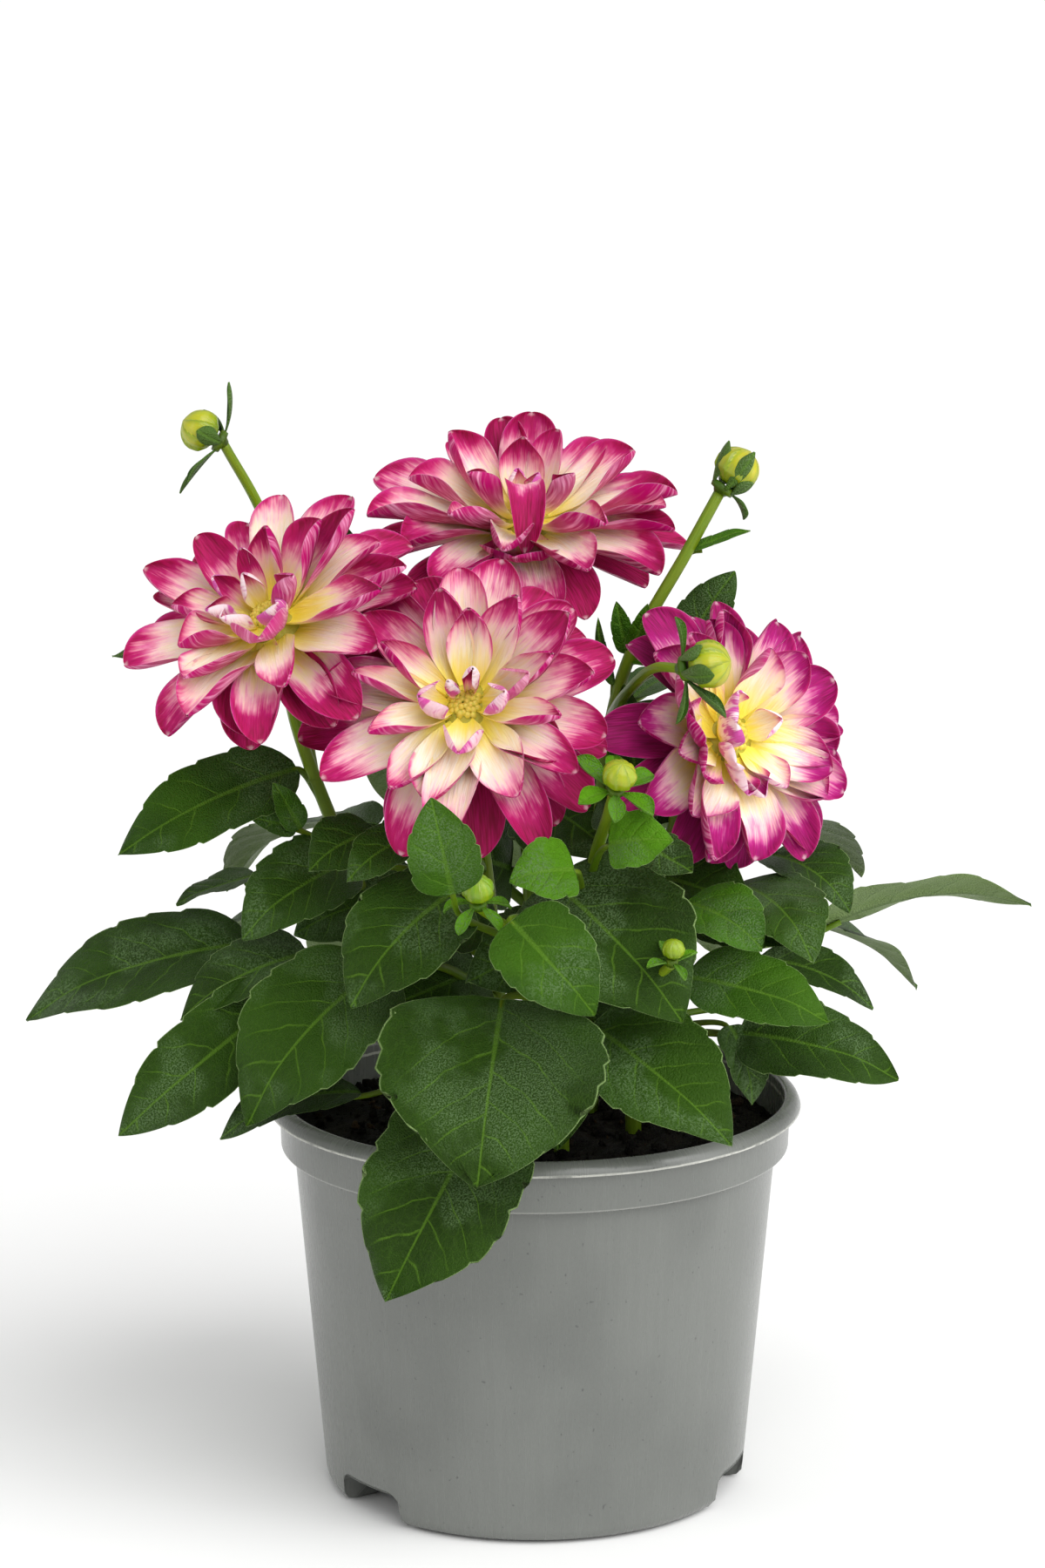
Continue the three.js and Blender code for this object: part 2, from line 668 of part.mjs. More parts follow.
// The stalk of a leaf: it leaves the stem below the leaf and ends in the leaf's middle rib
function petiole(leaf, stemLine) {
  const { root } = leaf;
  const span = Math.hypot(root.x - stemLine[1].x, root.y - stemLine[1].y);
  const start = stemAt(stemLine, Math.max(soilHeight + 5, root.z - stalkReach * span));
  const bow = mix(start, root, 0.5).addScaledVector(up, 0.1 * start.distanceTo(root));
  if (leaf.sway) bow.add(leaf.sway);
  const { centre, normal } = leafLine(leaf);
  const under = root.clone().addScaledVector(normal, -leafThickness - petioleTipRadius);
  const rib = centre(0.2).addScaledVector(normal, -leafThickness * 0.6);
  return taperedTube([start, bow, under, rib], petioleRadius, petioleTipRadius, 3, 3);
}

// A leafy stem: stem, side shoots, flower seats, and each leaf on its stalk
function stemGeometry(stem) {
  const { radius, end, shoots } = stem;
  const line = stemPoints(stem);
  const pieces = [
    taperedTube(line, radius, radius * stemEndShare, stemSides, 8),
    ...flowerSeat(end),
  ];
  for (const shoot of shoots) {
    const start = radius * shootShare;
    const tube = taperedTube(stemPoints(shoot), start, radius * 0.55, 5, 6);
    pieces.push(tube, ...flowerSeat(shoot.end));
  }
  for (const given of leaves[stem.name]) {
    const outward = vec(given.root.x, given.root.y, 0).normalize();
    const face = given.face ?? outward.multiplyScalar(0.45).addScaledVector(up, 0.9);
    const leaf = { ...given, face };
    pieces.push(leafBlade(leaf), petiole(leaf, line));
  }
  return fuse(pieces);
}

// A plain finish of one colour
function finish(color, roughness) {
  return new THREE.MeshStandardMaterial({ color, roughness, metalness: 0 });
}

const potMaterial = finish(0x8b908e, 0.45);
const soilMaterial = finish(0x1d1814, 0.95);
const leafMaterial = finish(0x2c5a26, 0.6);
const petalMaterial = finish(0xe9a3c1, 0.55);
const budMaterial = finish(0xb4c93c, 0.45);

const group = new THREE.Group();

function addPiece(name, geometry, material) {
  const mesh = new THREE.Mesh(geometry, material.clone());
  mesh.name = name;
  group.add(mesh);
}

addPiece('pot', potGeometry(), potMaterial);
addPiece('soil', soilGeometry(), soilMaterial);
stems.forEach((stem) => addPiece(stem.name, stemGeometry(stem), leafMaterial));
blooms.forEach((bloom) => addPiece(bloom.name, bloomGeometry(bloom), petalMaterial));
buds.forEach((bud) => addPiece(bud.name, budGeometry(bud), budMaterial));

export default group;
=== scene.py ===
# %% [markdown]
# # A dahlia in its nursery pot
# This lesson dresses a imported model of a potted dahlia. The model's plain solids give every piece
# its place and size. Each step replaces one kind of solid with a finer surface, worked out with
# numpy as whole grids of points, and gives it a procedural finish. Lengths are in millimetres
# until a mesh is made, because that is how a grower would measure a plant.

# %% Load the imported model
import math

import bpy
import numpy as np
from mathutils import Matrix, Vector


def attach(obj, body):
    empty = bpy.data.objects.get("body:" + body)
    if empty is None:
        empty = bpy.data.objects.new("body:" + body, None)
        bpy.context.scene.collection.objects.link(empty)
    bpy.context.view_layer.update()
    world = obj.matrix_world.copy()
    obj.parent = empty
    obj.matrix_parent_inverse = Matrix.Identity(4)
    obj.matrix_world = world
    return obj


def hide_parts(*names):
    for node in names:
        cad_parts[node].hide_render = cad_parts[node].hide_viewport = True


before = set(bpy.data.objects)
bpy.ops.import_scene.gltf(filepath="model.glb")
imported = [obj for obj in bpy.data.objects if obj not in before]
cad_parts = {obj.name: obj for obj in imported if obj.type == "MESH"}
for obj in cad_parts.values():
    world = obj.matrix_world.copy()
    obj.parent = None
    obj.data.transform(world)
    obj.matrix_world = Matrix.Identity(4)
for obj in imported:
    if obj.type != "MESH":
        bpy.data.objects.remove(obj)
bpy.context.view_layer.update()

MM = 0.001

# %% [markdown]
# ## Surfaces as grids
# Petals, leaves, stems, buds and the pot are all grids: rows run along the thing, and columns run
# once round it. A petal or leaf is a thin closed skin, so its columns cross the upper face and
# come back along the lower one. The same few functions close such grids, join them and turn them
# into a mesh. Many grids of one size are worked out together, as one array, which is far quicker
# than modelling or copying single petals.

# %% Grids into faces
def closed_grid(points, uv, ring=False, **marks):
    """Faces of n grids whose columns run once round and meet.

    points is (n, rows, cols, 3) and uv is (n, rows, cols + 1, 2). Each grid is closed by a fan
    to the middle of its first and of its last row, or, for a ring, by joining last row to first.
    Marks are values at the vertices, for the material.
    """
    n, rows, cols = points.shape[:3]
    index = np.arange(n * rows * cols).reshape(n, rows, cols)
    index = np.concatenate([index, index[:, :, :1]], 2)
    if ring:
        index = np.concatenate([index, index[:, :1]], 1)

    def corners(a):
        return np.stack([a[:, :-1, :-1], a[:, :-1, 1:], a[:, 1:, 1:], a[:, 1:, :-1]], 3)

    faces = [corners(index).reshape(-1, 4)]
    uvs = [corners(uv).reshape(-1, 4, 2)]
    vertices = [points.reshape(-1, 3)]
    whole = {key: np.broadcast_to(value, (n, rows, cols)) for key, value in marks.items()}
    values = {key: [value.ravel()] for key, value in whole.items()}
    for end in () if ring else (0, -1):
        way = 1 if end == 0 else -1
        pole = n * rows * cols - end * n + np.arange(n)
        first, second = (index[:, end, 1:], index[:, end, :-1])[::way]
        tip = np.broadcast_to(pole[:, None], first.shape)
        faces.append(np.stack([tip, first, second], -1).reshape(-1, 3))
        one, two = (uv[:, end, 1:], uv[:, end, :-1])[::way]
        middle = np.broadcast_to(uv[:, end].mean(1)[:, None], one.shape)
        uvs.append(np.stack([middle, one, two], 2).reshape(-1, 3, 2))
        vertices.append(points[:, end].mean(1))
        for key, value in whole.items():
            values[key].append(value[:, end].mean(1))
    marks = {key: np.concatenate(parts) for key, parts in values.items()}
    return outward({"points": np.concatenate(vertices), "faces": faces, "uvs": uvs, "marks": marks})


def outward(surface):
    """Turns the faces round if the volume that they enclose comes out negative."""
    p = surface["points"]
    volume = sum(
        np.einsum("ij,ij->i", p[f[:, 0]], np.cross(p[f[:, k]], p[f[:, k + 1]])).sum()
        for f in surface["faces"]
        for k in range(1, f.shape[1] - 1)
    )
    if volume < 0:
        for key in ("faces", "uvs"):
            surface[key] = [part[:, ::-1] for part in surface[key]]
    return surface


def join(surfaces):
    """Several surfaces as one, with vertex numbers that follow on from each other. A mark that a
    surface lacks is 0 on it."""
    counts = [len(s["points"]) for s in surfaces]
    offsets = np.cumsum([0] + counts)
    keys = sorted({key for s in surfaces for key in s["marks"]})
    marks = {key: [s["marks"].get(key, np.zeros(c)) for s, c in zip(surfaces, counts)] for key in keys}
    return {
        "points": np.concatenate([s["points"] for s in surfaces]),
        "faces": [f + o for s, o in zip(surfaces, offsets) for f in s["faces"]],
        "uvs": [w for s in surfaces for w in s["uvs"]],
        "marks": {key: np.concatenate(parts) for key, parts in marks.items()},
    }


sample = closed_grid(np.zeros((1, 3, 4, 3)), np.zeros((1, 3, 5, 2)))
print("a grid of 3 by 4 points has", sum(map(len, sample["faces"])), "faces")

# %% Surfaces into pieces
def make_piece(name, surfaces, material, slot, *nodes, crease=None):
    """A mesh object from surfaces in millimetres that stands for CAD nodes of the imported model.
    Edges that turn by more than the crease, in degrees, are shaded as sharp."""
    surface = join(surfaces)
    mesh = bpy.data.meshes.new(name)
    sizes = np.concatenate([np.full(len(f), f.shape[1]) for f in surface["faces"]])
    loops = np.concatenate([f.ravel() for f in surface["faces"]]).astype(np.int32)
    mesh.vertices.add(len(surface["points"]))
    mesh.vertices.foreach_set("co", (surface["points"] * MM).astype(np.float32).ravel())
    mesh.loops.add(len(loops))
    mesh.loops.foreach_set("vertex_index", loops)
    mesh.polygons.add(len(sizes))
    starts = np.concatenate([[0], np.cumsum(sizes)[:-1]]).astype(np.int32)
    mesh.polygons.foreach_set("loop_start", starts)
    mesh.update(calc_edges=True)
    layer = mesh.uv_layers.new(name="UVMap")
    uv = np.concatenate([w.reshape(-1, 2) for w in surface["uvs"]])
    layer.uv.foreach_set("vector", uv.astype(np.float32).ravel())
    for key, value in surface["marks"].items():
        mark = mesh.attributes.new(key, "FLOAT", "POINT")
        mark.data.foreach_set("value", value.astype(np.float32))
    mesh.shade_smooth()
    if crease:
        mesh.set_sharp_from_angle(angle=math.radians(crease))
    mesh.materials.append(material)
    piece = bpy.data.objects.new(name, mesh)
    bpy.context.scene.collection.objects.link(piece)
    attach(piece, "root")
    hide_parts(*nodes)
    print(f"{name}: {len(surface['points'])} vertices, {int((sizes - 2).sum())} triangles")

# %% [markdown]
# ## Small tools
# A plant is regular but never exact. The wobble below is the same repeatable draw that placed the
# petals of the solid blooms, so the fine petals land where the solid ones are. Stems and turned
# parts come from two more formulas: a ring carried along a line, and a profile turned about Z.

# %% Repeatable draws, directions and steps
def wobble(i, k):
    """A draw from -1 to 1 for item i of series k: the fraction of a sum of irrational steps."""
    x = np.asarray(i) * 0.7548777 + k * 0.5698403
    return 2 * (x - np.floor(x)) - 1


def unit(v):
    """The same direction with length 1, over the last axis."""
    v = np.asarray(v, float)
    return v / np.linalg.norm(v, axis=-1, keepdims=True)


def step(x, low, high):
    """0 below low, 1 above high, and a smooth S between them."""
    t = np.clip((np.asarray(x, float) - low) / (high - low), 0, 1)
    return t * t * (3 - 2 * t)


def grid_of(*parts):
    """Arrays spread to one shape and stacked as the coordinates of points."""
    return np.stack(np.broadcast_arrays(*parts), -1)


def face_frame(axis):
    """The right, the upper side and the axis of a flower that looks along the axis."""
    normal = unit(axis)
    right = unit(np.cross((0, 0, 1), normal))
    return right, np.cross(normal, right), normal


def moved(surface, flower):
    """A surface moved from the origin into the directions and the place of a flower."""
    axes = np.array(face_frame(flower["axis"]))
    surface["points"] = surface["points"] @ axes + np.asarray(flower["centre"], float)
    return surface


print("first draws:", wobble(np.arange(3), 0).round(2))

# %% Lines, tubes and turned parts
def smooth_line(corners, count):
    """A line through the corners, as a centripetal Catmull-Rom spline: between two corners it is a
    cubic whose end slopes come from the neighbours, spaced by the root of their distances. It is
    returned as count points an even length apart."""
    c = np.asarray(corners, float)
    p = np.vstack([2 * c[0] - c[1], c, 2 * c[-1] - c[-2]])
    d = np.sqrt(np.linalg.norm(np.diff(p, axis=0), axis=1))[:, None]
    slope = np.diff(p, axis=0) / d
    across = (p[2:] - p[:-2]) / (d[1:] + d[:-1])
    tangent = slope[:-1] - across + slope[1:]
    x = np.linspace(0, 1, 25)[:-1, None, None]
    a, b = c[:-1], c[1:]
    ta, tb = tangent[:-1] * d[1:-1], tangent[1:] * d[1:-1]
    curve = ((2 * x**3 - 3 * x**2 + 1) * a + (x**3 - 2 * x**2 + x) * ta
             + (3 * x**2 - 2 * x**3) * b + (x**3 - x**2) * tb)
    curve = np.vstack([curve.transpose(1, 0, 2).reshape(-1, 3), c[-1:]])
    length = np.concatenate([[0], np.cumsum(np.linalg.norm(np.diff(curve, axis=0), axis=1))])
    even = np.linspace(0, length[-1], count)
    return np.stack([np.interp(even, length, curve[:, k]) for k in range(3)], 1)


def tube(line, radius, sides, ribs, rib, ripe):
    """A round tube along a line: each ring stands square to the line, and its radius swells with
    the cosine of the angle times the number of ribs. UV is the way round and along, in mm. Ripe is
    a mark for each ring."""
    tangent = unit(np.gradient(line, axis=0))
    reference = np.eye(3)[np.argmin(np.abs(tangent.mean(0)))]
    side = unit(np.cross(tangent, reference))
    other = np.cross(tangent, side)
    angle = 2 * np.pi * np.arange(sides + 1) / sides
    swell = radius[:, None] * (1 + rib * np.cos(ribs * angle[:-1]))
    points = (line[:, None] + side[:, None] * (swell * np.cos(angle[:-1]))[..., None]
              + other[:, None] * (swell * np.sin(angle[:-1]))[..., None])
    step_length = np.linalg.norm(np.diff(line, axis=0), axis=1)
    along = np.concatenate([[0], np.cumsum(step_length)])[:, None]
    return closed_grid(points[None], grid_of(radius.mean() * angle[None], along)[None],
                       ripe=ripe[None, :, None])


def turned(profile, sides):
    """A surface turned about Z from [radius, height] points that start and end near the axis."""
    profile = np.asarray(profile, float)
    radius, height = profile[:, :1], profile[:, 1:]
    angle = 2 * np.pi * np.arange(sides + 1) / sides
    points = grid_of(radius * np.cos(angle[:-1]), radius * np.sin(angle[:-1]), height)
    return closed_grid(points[None], grid_of(angle[None], height)[None])


ball = turned([(0.01, -1), (1, 0), (0.01, 1)], 8)
print("a turned ball of 8 sides has", len(ball["points"]), "points")

# %% [markdown]
# ## Node helpers
# Every finish is procedural, so it holds from any distance and needs no picture. A node tree is
# easier to read as sums than as boxes and wires. These helpers add one node each, in the tree that
# their sockets belong to, and the finishes are written with them.

# %% Helpers for node trees
def put(sockets, key, value):
    """Gives an input a constant, or a link from the socket of another node."""
    if isinstance(value, bpy.types.NodeSocket):
        value.id_data.links.new(value, sockets[key])
    else:
        sockets[key].default_value = value


def node(tree, kind, inputs=None, **settings):
    """Adds a shader node. Settings are its options; inputs are constants or feeding sockets."""
    new = tree.nodes.new("ShaderNode" + kind)
    for key, value in settings.items():
        setattr(new, key, value)
    for key, value in (inputs or {}).items():
        put(new.inputs, key, value)
    return new


def maths(operation, *values):
    """One step of arithmetic."""
    tree = next(v.id_data for v in values if isinstance(v, bpy.types.NodeSocket))
    return node(tree, "Math", dict(enumerate(values)), operation=operation).outputs[0]


def chain(operation):
    """A function that takes its values from left to right through one operation."""
    def through(first, *others):
        for other in others:
            first = maths(operation, first, other)
        return first
    return through


plus, minus, times, over = map(chain, ("ADD", "SUBTRACT", "MULTIPLY", "DIVIDE"))


def fade(value, low, high, start=0.0, end=1.0):
    """A smooth change from start to end while the value goes from low to high."""
    inputs = {"Value": value, "From Min": low, "From Max": high, "To Min": start, "To Max": end}
    return node(value.id_data, "MapRange", inputs, interpolation_type="SMOOTHSTEP").outputs[0]


def blend(share, a, b):
    """Colour a turning into colour b by a share from 0 to 1."""
    mix = node(share.id_data, "Mix", {0: share}, data_type="RGBA")
    for key, value in ((6, a), (7, b)):
        put(mix.inputs, key, (*value, 1) if isinstance(value, tuple) else value)
    return mix.outputs[2]


def layered(colour, *layers):
    """Colours laid over a first one, each by its own share."""
    for share, paint in layers:
        colour = blend(share, colour, paint)
    return colour


def marks(tree, *names):
    """The values of the marks that the mesh carries."""
    return [node(tree, "Attribute", attribute_name=name).outputs["Fac"] for name in names]


def noise(vector, scale, detail=2.0, rough=0.5):
    """Soft noise from 0 to 1 along a vector."""
    inputs = {"Vector": vector, "Scale": scale, "Detail": detail, "Roughness": rough}
    return node(vector.id_data, "TexNoise", inputs).outputs["Fac"]


def combined(**parts):
    """A vector from some of its parts X, Y and Z."""
    return node(next(iter(parts.values())).id_data, "CombineXYZ", parts).outputs[0]


def stretched(vector, scale, shift):
    """A vector scaled along each axis, and shifted by a mark so that pieces differ."""
    scaled = node(vector.id_data, "VectorMath", {0: vector, 1: scale}, operation="MULTIPLY")
    inputs = {0: scaled.outputs[0], 1: combined(Z=times(shift, 61.0))}
    return node(vector.id_data, "VectorMath", inputs, operation="ADD").outputs[0]


print("sums for node trees are ready in Blender", bpy.app.version_string)

# %% Materials and groups
def new_material(name):
    """An empty material and its node tree."""
    material = bpy.data.materials.new(name)
    material.use_nodes = True
    return material, material.node_tree


def object_place(tree):
    """The point on the piece, in metres."""
    return node(tree, "TexCoord").outputs["Object"]


def uv_place(tree):
    """The place on the piece's own UV map."""
    return node(tree, "UVMap", uv_map="UVMap").outputs[0]


def finished(material, colour, values, height, distance, strength):
    """Feeds the colour, the other values and a height, through a Bump node, into the shader."""
    tree = material.node_tree
    bump = node(tree, "Bump", {"Height": height, "Distance": distance, "Strength": strength})
    inputs = {"Base Color": colour, "Normal": bump.outputs[0], **values}
    for key, value in inputs.items():
        put(tree.nodes["Principled BSDF"].inputs, key, value)
    return material


def new_group(name, inputs, outputs):
    """An empty node group with named inputs (with their values) and outputs."""
    group = bpy.data.node_groups.new(name, "ShaderNodeTree")
    kinds = {float: "NodeSocketFloat", tuple: "NodeSocketVector"}
    for key, value in inputs.items():
        socket = group.interface.new_socket(key, in_out="INPUT", socket_type=kinds[type(value)])
        socket.default_value = value
    for key in outputs:
        group.interface.new_socket(key, in_out="OUTPUT", socket_type="NodeSocketFloat")
    start = group.nodes.new("NodeGroupInput")
    end = group.nodes.new("NodeGroupOutput")
    return group, start.outputs, end.inputs


def use_group(group, **inputs):
    """Places a group with its own values. An input's name is written with _ for its spaces."""
    tree = next(iter(inputs.values())).id_data
    named = {key.replace("_", " "): value for key, value in inputs.items()}
    return node(tree, "Group", named, node_tree=group).outputs[:]


print("materials in the packed model:", len(bpy.data.materials))

# %% [markdown]
# ## Shared effects
# Two effects return in most finishes. Living tissue and moulded plastic are both mottled: large
# soft patches with a fine grain over them. Petals, bracts and stems are streaked along their
# length, because their cells lie in rows. Each effect is one group, with its own values in each
# material.

# %% The mottle and the streaks
def mottle_group():
    """Two noises of the same vector, a coarse and a fine one, each drawn out to nearly 0 to 1."""
    group, given, out = new_group(
        "Mottle", {"Vector": (0.0, 0.0, 0.0), "Patch Scale": 30.0, "Grain Scale": 900.0},
        ["Patches", "Grain"])
    patches = noise(given["Vector"], given["Patch Scale"], 3.0)
    grain = noise(given["Vector"], given["Grain Scale"], 2.0, 0.6)
    put(out, "Patches", fade(patches, 0.3, 0.7))
    put(out, "Grain", fade(grain, 0.25, 0.75))
    return group


def streak_group():
    """Noise that is long along the V of the UV map and short across it, in mm."""
    group, given, out = new_group(
        "Streaks", {"Vector": (0.0, 0.0, 0.0), "Width": 1.0, "Length": 12.0, "Shift": 0.0},
        ["Broad", "Fine"])
    u, v, _ = node(group, "SeparateXYZ", {0: given["Vector"]}).outputs
    place = combined(X=over(u, given["Width"]), Y=over(v, given["Length"]),
                     Z=times(given["Shift"], 47.0))
    put(out, "Broad", noise(place, 0.5, 2.0, 0.55))
    put(out, "Fine", noise(place, 2.2, 1.0, 0.5))
    return group


MOTTLE = mottle_group()
STREAKS = streak_group()
print("groups:", [g.name for g in bpy.data.node_groups])

# %% [markdown]
# ## The pot
# A nursery pot is moulded plastic: a tapered wall, a stiff band at the top with a rolled lip, and
# a foot ring that three notches break to let water out. It could be a turned solid with notches
# cut out by a Boolean, but that leaves ragged edges. Here the pot is one profile, inside and
# outside, turned about the axis, and over each notch the foot of the profile is pushed up to the
# notch's roof, and the wall above it is squeezed.

# %% The pot's profile
POT_HEIGHT, LIP_RADIUS, BAND_RADIUS, BAND_HEIGHT = 106.0, 70.0, 67.0, 14.5
BODY_TOP_RADIUS, BODY_LOW_RADIUS, WALL, FLOOR_HEIGHT = 63.3, 56.0, 1.2, 9.6
FOOT_RADIUS, FOOT_INNER_RADIUS, SQUEEZE_HEIGHT = 50.2, 44.6, 13.0
NOTCH_ANGLES, NOTCH_WIDTH, NOTCH_HEIGHT = (-51.5, 71.5, 190.0), 24.0, 8.9
NOTCH_CORNER, NOTCH_FLARE = 4.6, 1.8
DRAIN_CIRCLE, DRAIN_RADIUS, DRAIN_COUNT = 30.0, 4.0, 6
PLATE_RADIUS = 43.0
BEYOND = 99.0


def rounded(corners, radii, steps=4):
    """A polygon with each corner replaced by a quadratic curve that starts and ends a radius away
    from it."""
    c = np.asarray(corners, float)
    line = []
    for i, radius in enumerate(radii):
        before, after = c[i - 1], c[(i + 1) % len(c)]
        reach = min(radius, 0.45 * np.linalg.norm(before - c[i]), 0.45 * np.linalg.norm(after - c[i]))
        a = c[i] + reach * unit(before - c[i])
        b = c[i] + reach * unit(after - c[i])
        t = np.linspace(0, 1, steps)[:, None]
        line.append((1 - t) ** 2 * a + 2 * t * (1 - t) * c[i] + t**2 * b)
    return np.concatenate(line)


def densified(line, longest):
    """The same closed line with long stretches split, so that no step is longer than given."""
    pieces = []
    for a, b in zip(line, np.roll(line, -1, axis=0)):
        count = max(1, math.ceil(np.linalg.norm(b - a) / longest))
        pieces.append(a + (b - a) * np.linspace(0, 1, count + 1)[:-1, None])
    return np.concatenate(pieces)


band_foot = POT_HEIGHT - BAND_HEIGHT
POT_PROFILE = [
    (PLATE_RADIUS - 1.5, FLOOR_HEIGHT, 0.1), (FOOT_INNER_RADIUS, FLOOR_HEIGHT, 0.6),
    (FOOT_INNER_RADIUS, 0.0, 0.5), (FOOT_RADIUS, 0.0, 0.8), (FOOT_RADIUS + 3.6, 0.9, 1.4),
    (FOOT_RADIUS + 5.2, 2.8, 1.2), (BODY_LOW_RADIUS, 9.0, 2.0),
    (BODY_TOP_RADIUS, band_foot, 0.3), (BAND_RADIUS - 0.3, band_foot + 0.5, 0.8),
    (BAND_RADIUS, POT_HEIGHT - 4.2, 0.5), (LIP_RADIUS, POT_HEIGHT - 3.6, 0.35),
    (LIP_RADIUS - 0.8, POT_HEIGHT - 1.2, 1.2), (LIP_RADIUS - 3, POT_HEIGHT, 1.5),
    (BAND_RADIUS - 1.5, POT_HEIGHT - 0.6, 0.8), (BAND_RADIUS - 1.6, band_foot + 2, 1.0),
    (BODY_TOP_RADIUS - WALL, band_foot + 1.2, 0.8),
    (BODY_LOW_RADIUS - WALL, FLOOR_HEIGHT + WALL, 0.8), (PLATE_RADIUS - 1.5, FLOOR_HEIGHT + WALL, 0.1),
]
profile = densified(rounded([p[:2] for p in POT_PROFILE], [p[2] for p in POT_PROFILE]), 9.0)
print("pot profile points:", len(profile))

# %% The pot's wall and notches
def notch_roof(q):
    """The notch's outline as height over the distance q from its middle: flat, then a quarter
    circle down at the shoulder, then a hollow quarter circle out to the floor."""
    half, corner, flare = NOTCH_WIDTH / 2, NOTCH_CORNER, NOTCH_FLARE
    fall = (q - half + corner).clip(0, corner)
    shoulder = NOTCH_HEIGHT - corner + np.sqrt(corner**2 - fall**2)
    rest = (half + flare - q).clip(0, flare)
    return np.where(q < half, shoulder, flare - np.sqrt(flare**2 - rest**2))


def pot_angles():
    """Angles round the pot in degrees, every 1.5, and finer where the sides of the notches are."""
    finer = np.concatenate([np.arange(11.5, 18.6, 0.35), np.arange(7.0, 11.5, 0.9)])
    fine = [centre + side * finer for centre in NOTCH_ANGLES for side in (-1, 1)]
    return np.unique(np.round(np.concatenate([np.arange(0, 360, 1.5), *fine]) % 360, 3))


def pot_surface(profile):
    """Profile point (r, z) at angle a is (r sin a, -r cos a, z). Where a notch lies across it, the
    foot rises to the notch's roof; the outer wall's height becomes roof + z (1 - roof / squeeze
    height), and its radius is read again from the wall at the new height."""
    angle = pot_angles()
    shape = (len(angle), len(profile))
    radius, height = (np.broadcast_to(profile[None, :, k], shape) for k in (0, 1))
    roof = np.zeros(shape)
    for centre in NOTCH_ANGLES:
        away = np.radians((angle - centre + 180) % 360 - 180)[:, None]
        across = np.where(np.abs(away) < 1, radius * np.abs(np.sin(away)), BEYOND)
        roof = np.maximum(roof, notch_roof(across))
    inner = (radius < FOOT_RADIUS) | (height > SQUEEZE_HEIGHT)
    over_floor = (height > FLOOR_HEIGHT) & (radius < BODY_LOW_RADIUS - 0.5 * WALL)
    wall = (height < SQUEEZE_HEIGHT) & ~inner & ~over_floor
    under_floor = height < FLOOR_HEIGHT - 0.3
    squeezed = roof + height * (1 - roof / SQUEEZE_HEIGHT)
    raised = np.where(wall, squeezed, np.where(under_floor, np.maximum(height, roof), height))
    wall_z = [0, 0.9, 2.8, 9.0, SQUEEZE_HEIGHT]
    wall_r = [FOOT_RADIUS, FOOT_RADIUS + 3.6, FOOT_RADIUS + 5.2, BODY_LOW_RADIUS,
              BODY_LOW_RADIUS + 0.35]
    outwards = np.interp(raised, wall_z, wall_r) - np.interp(height, wall_z, wall_r)
    share = step(radius, FOOT_RADIUS - 2, FOOT_RADIUS - 0.2)
    radius = np.where(under_floor | wall, radius + outwards * share, radius)
    turn = np.radians(angle)[:, None]
    points = grid_of(radius * np.sin(turn), -radius * np.cos(turn), raised)
    uv = grid_of(np.append(angle, 360)[:, None] / 360, np.linspace(0, 1, len(profile) + 1)[None])
    return closed_grid(points[None], uv[None], ring=True)


print("angles round the pot:", len(pot_angles()))

# %% The pot's floor
def floor_sectors(columns=48):
    """The floor inside the ring, as six wedges with a drain hole each. A wedge is a frame: in each
    direction from the hole's middle it runs from the hole's circle to the nearest of the wedge's
    two sides and the plate's rim."""
    way = 2 * np.pi * np.arange(columns) / columns
    slope = math.tan(math.pi / DRAIN_COUNT)
    with np.errstate(divide="ignore"):
        sides = [DRAIN_CIRCLE * slope / (side * np.sin(way) - np.cos(way) * slope) for side in (-1, 1)]
    rim = -DRAIN_CIRCLE * np.cos(way) + np.sqrt(PLATE_RADIUS**2 - (DRAIN_CIRCLE * np.sin(way)) ** 2)
    reach = np.min([np.where(d > 0, d, BEYOND) for d in (*sides, rim)], axis=0)
    hole = np.full(columns, DRAIN_RADIUS)
    radius = np.stack([reach, hole, hole, reach])
    height = FLOOR_HEIGHT + np.array([0.05, 0.05, WALL - 0.05, WALL - 0.05])[:, None]
    x, y = DRAIN_CIRCLE + radius * np.cos(way), radius * np.sin(way)
    turn = (2 * np.pi * np.arange(DRAIN_COUNT) / DRAIN_COUNT)[:, None, None]
    points = grid_of(x * np.cos(turn) - y * np.sin(turn), x * np.sin(turn) + y * np.cos(turn), height)
    return closed_grid(points, np.zeros((DRAIN_COUNT, 5, columns + 1, 2)), ring=True)


print("drain holes:", DRAIN_COUNT, "of", 2 * DRAIN_RADIUS, "mm")

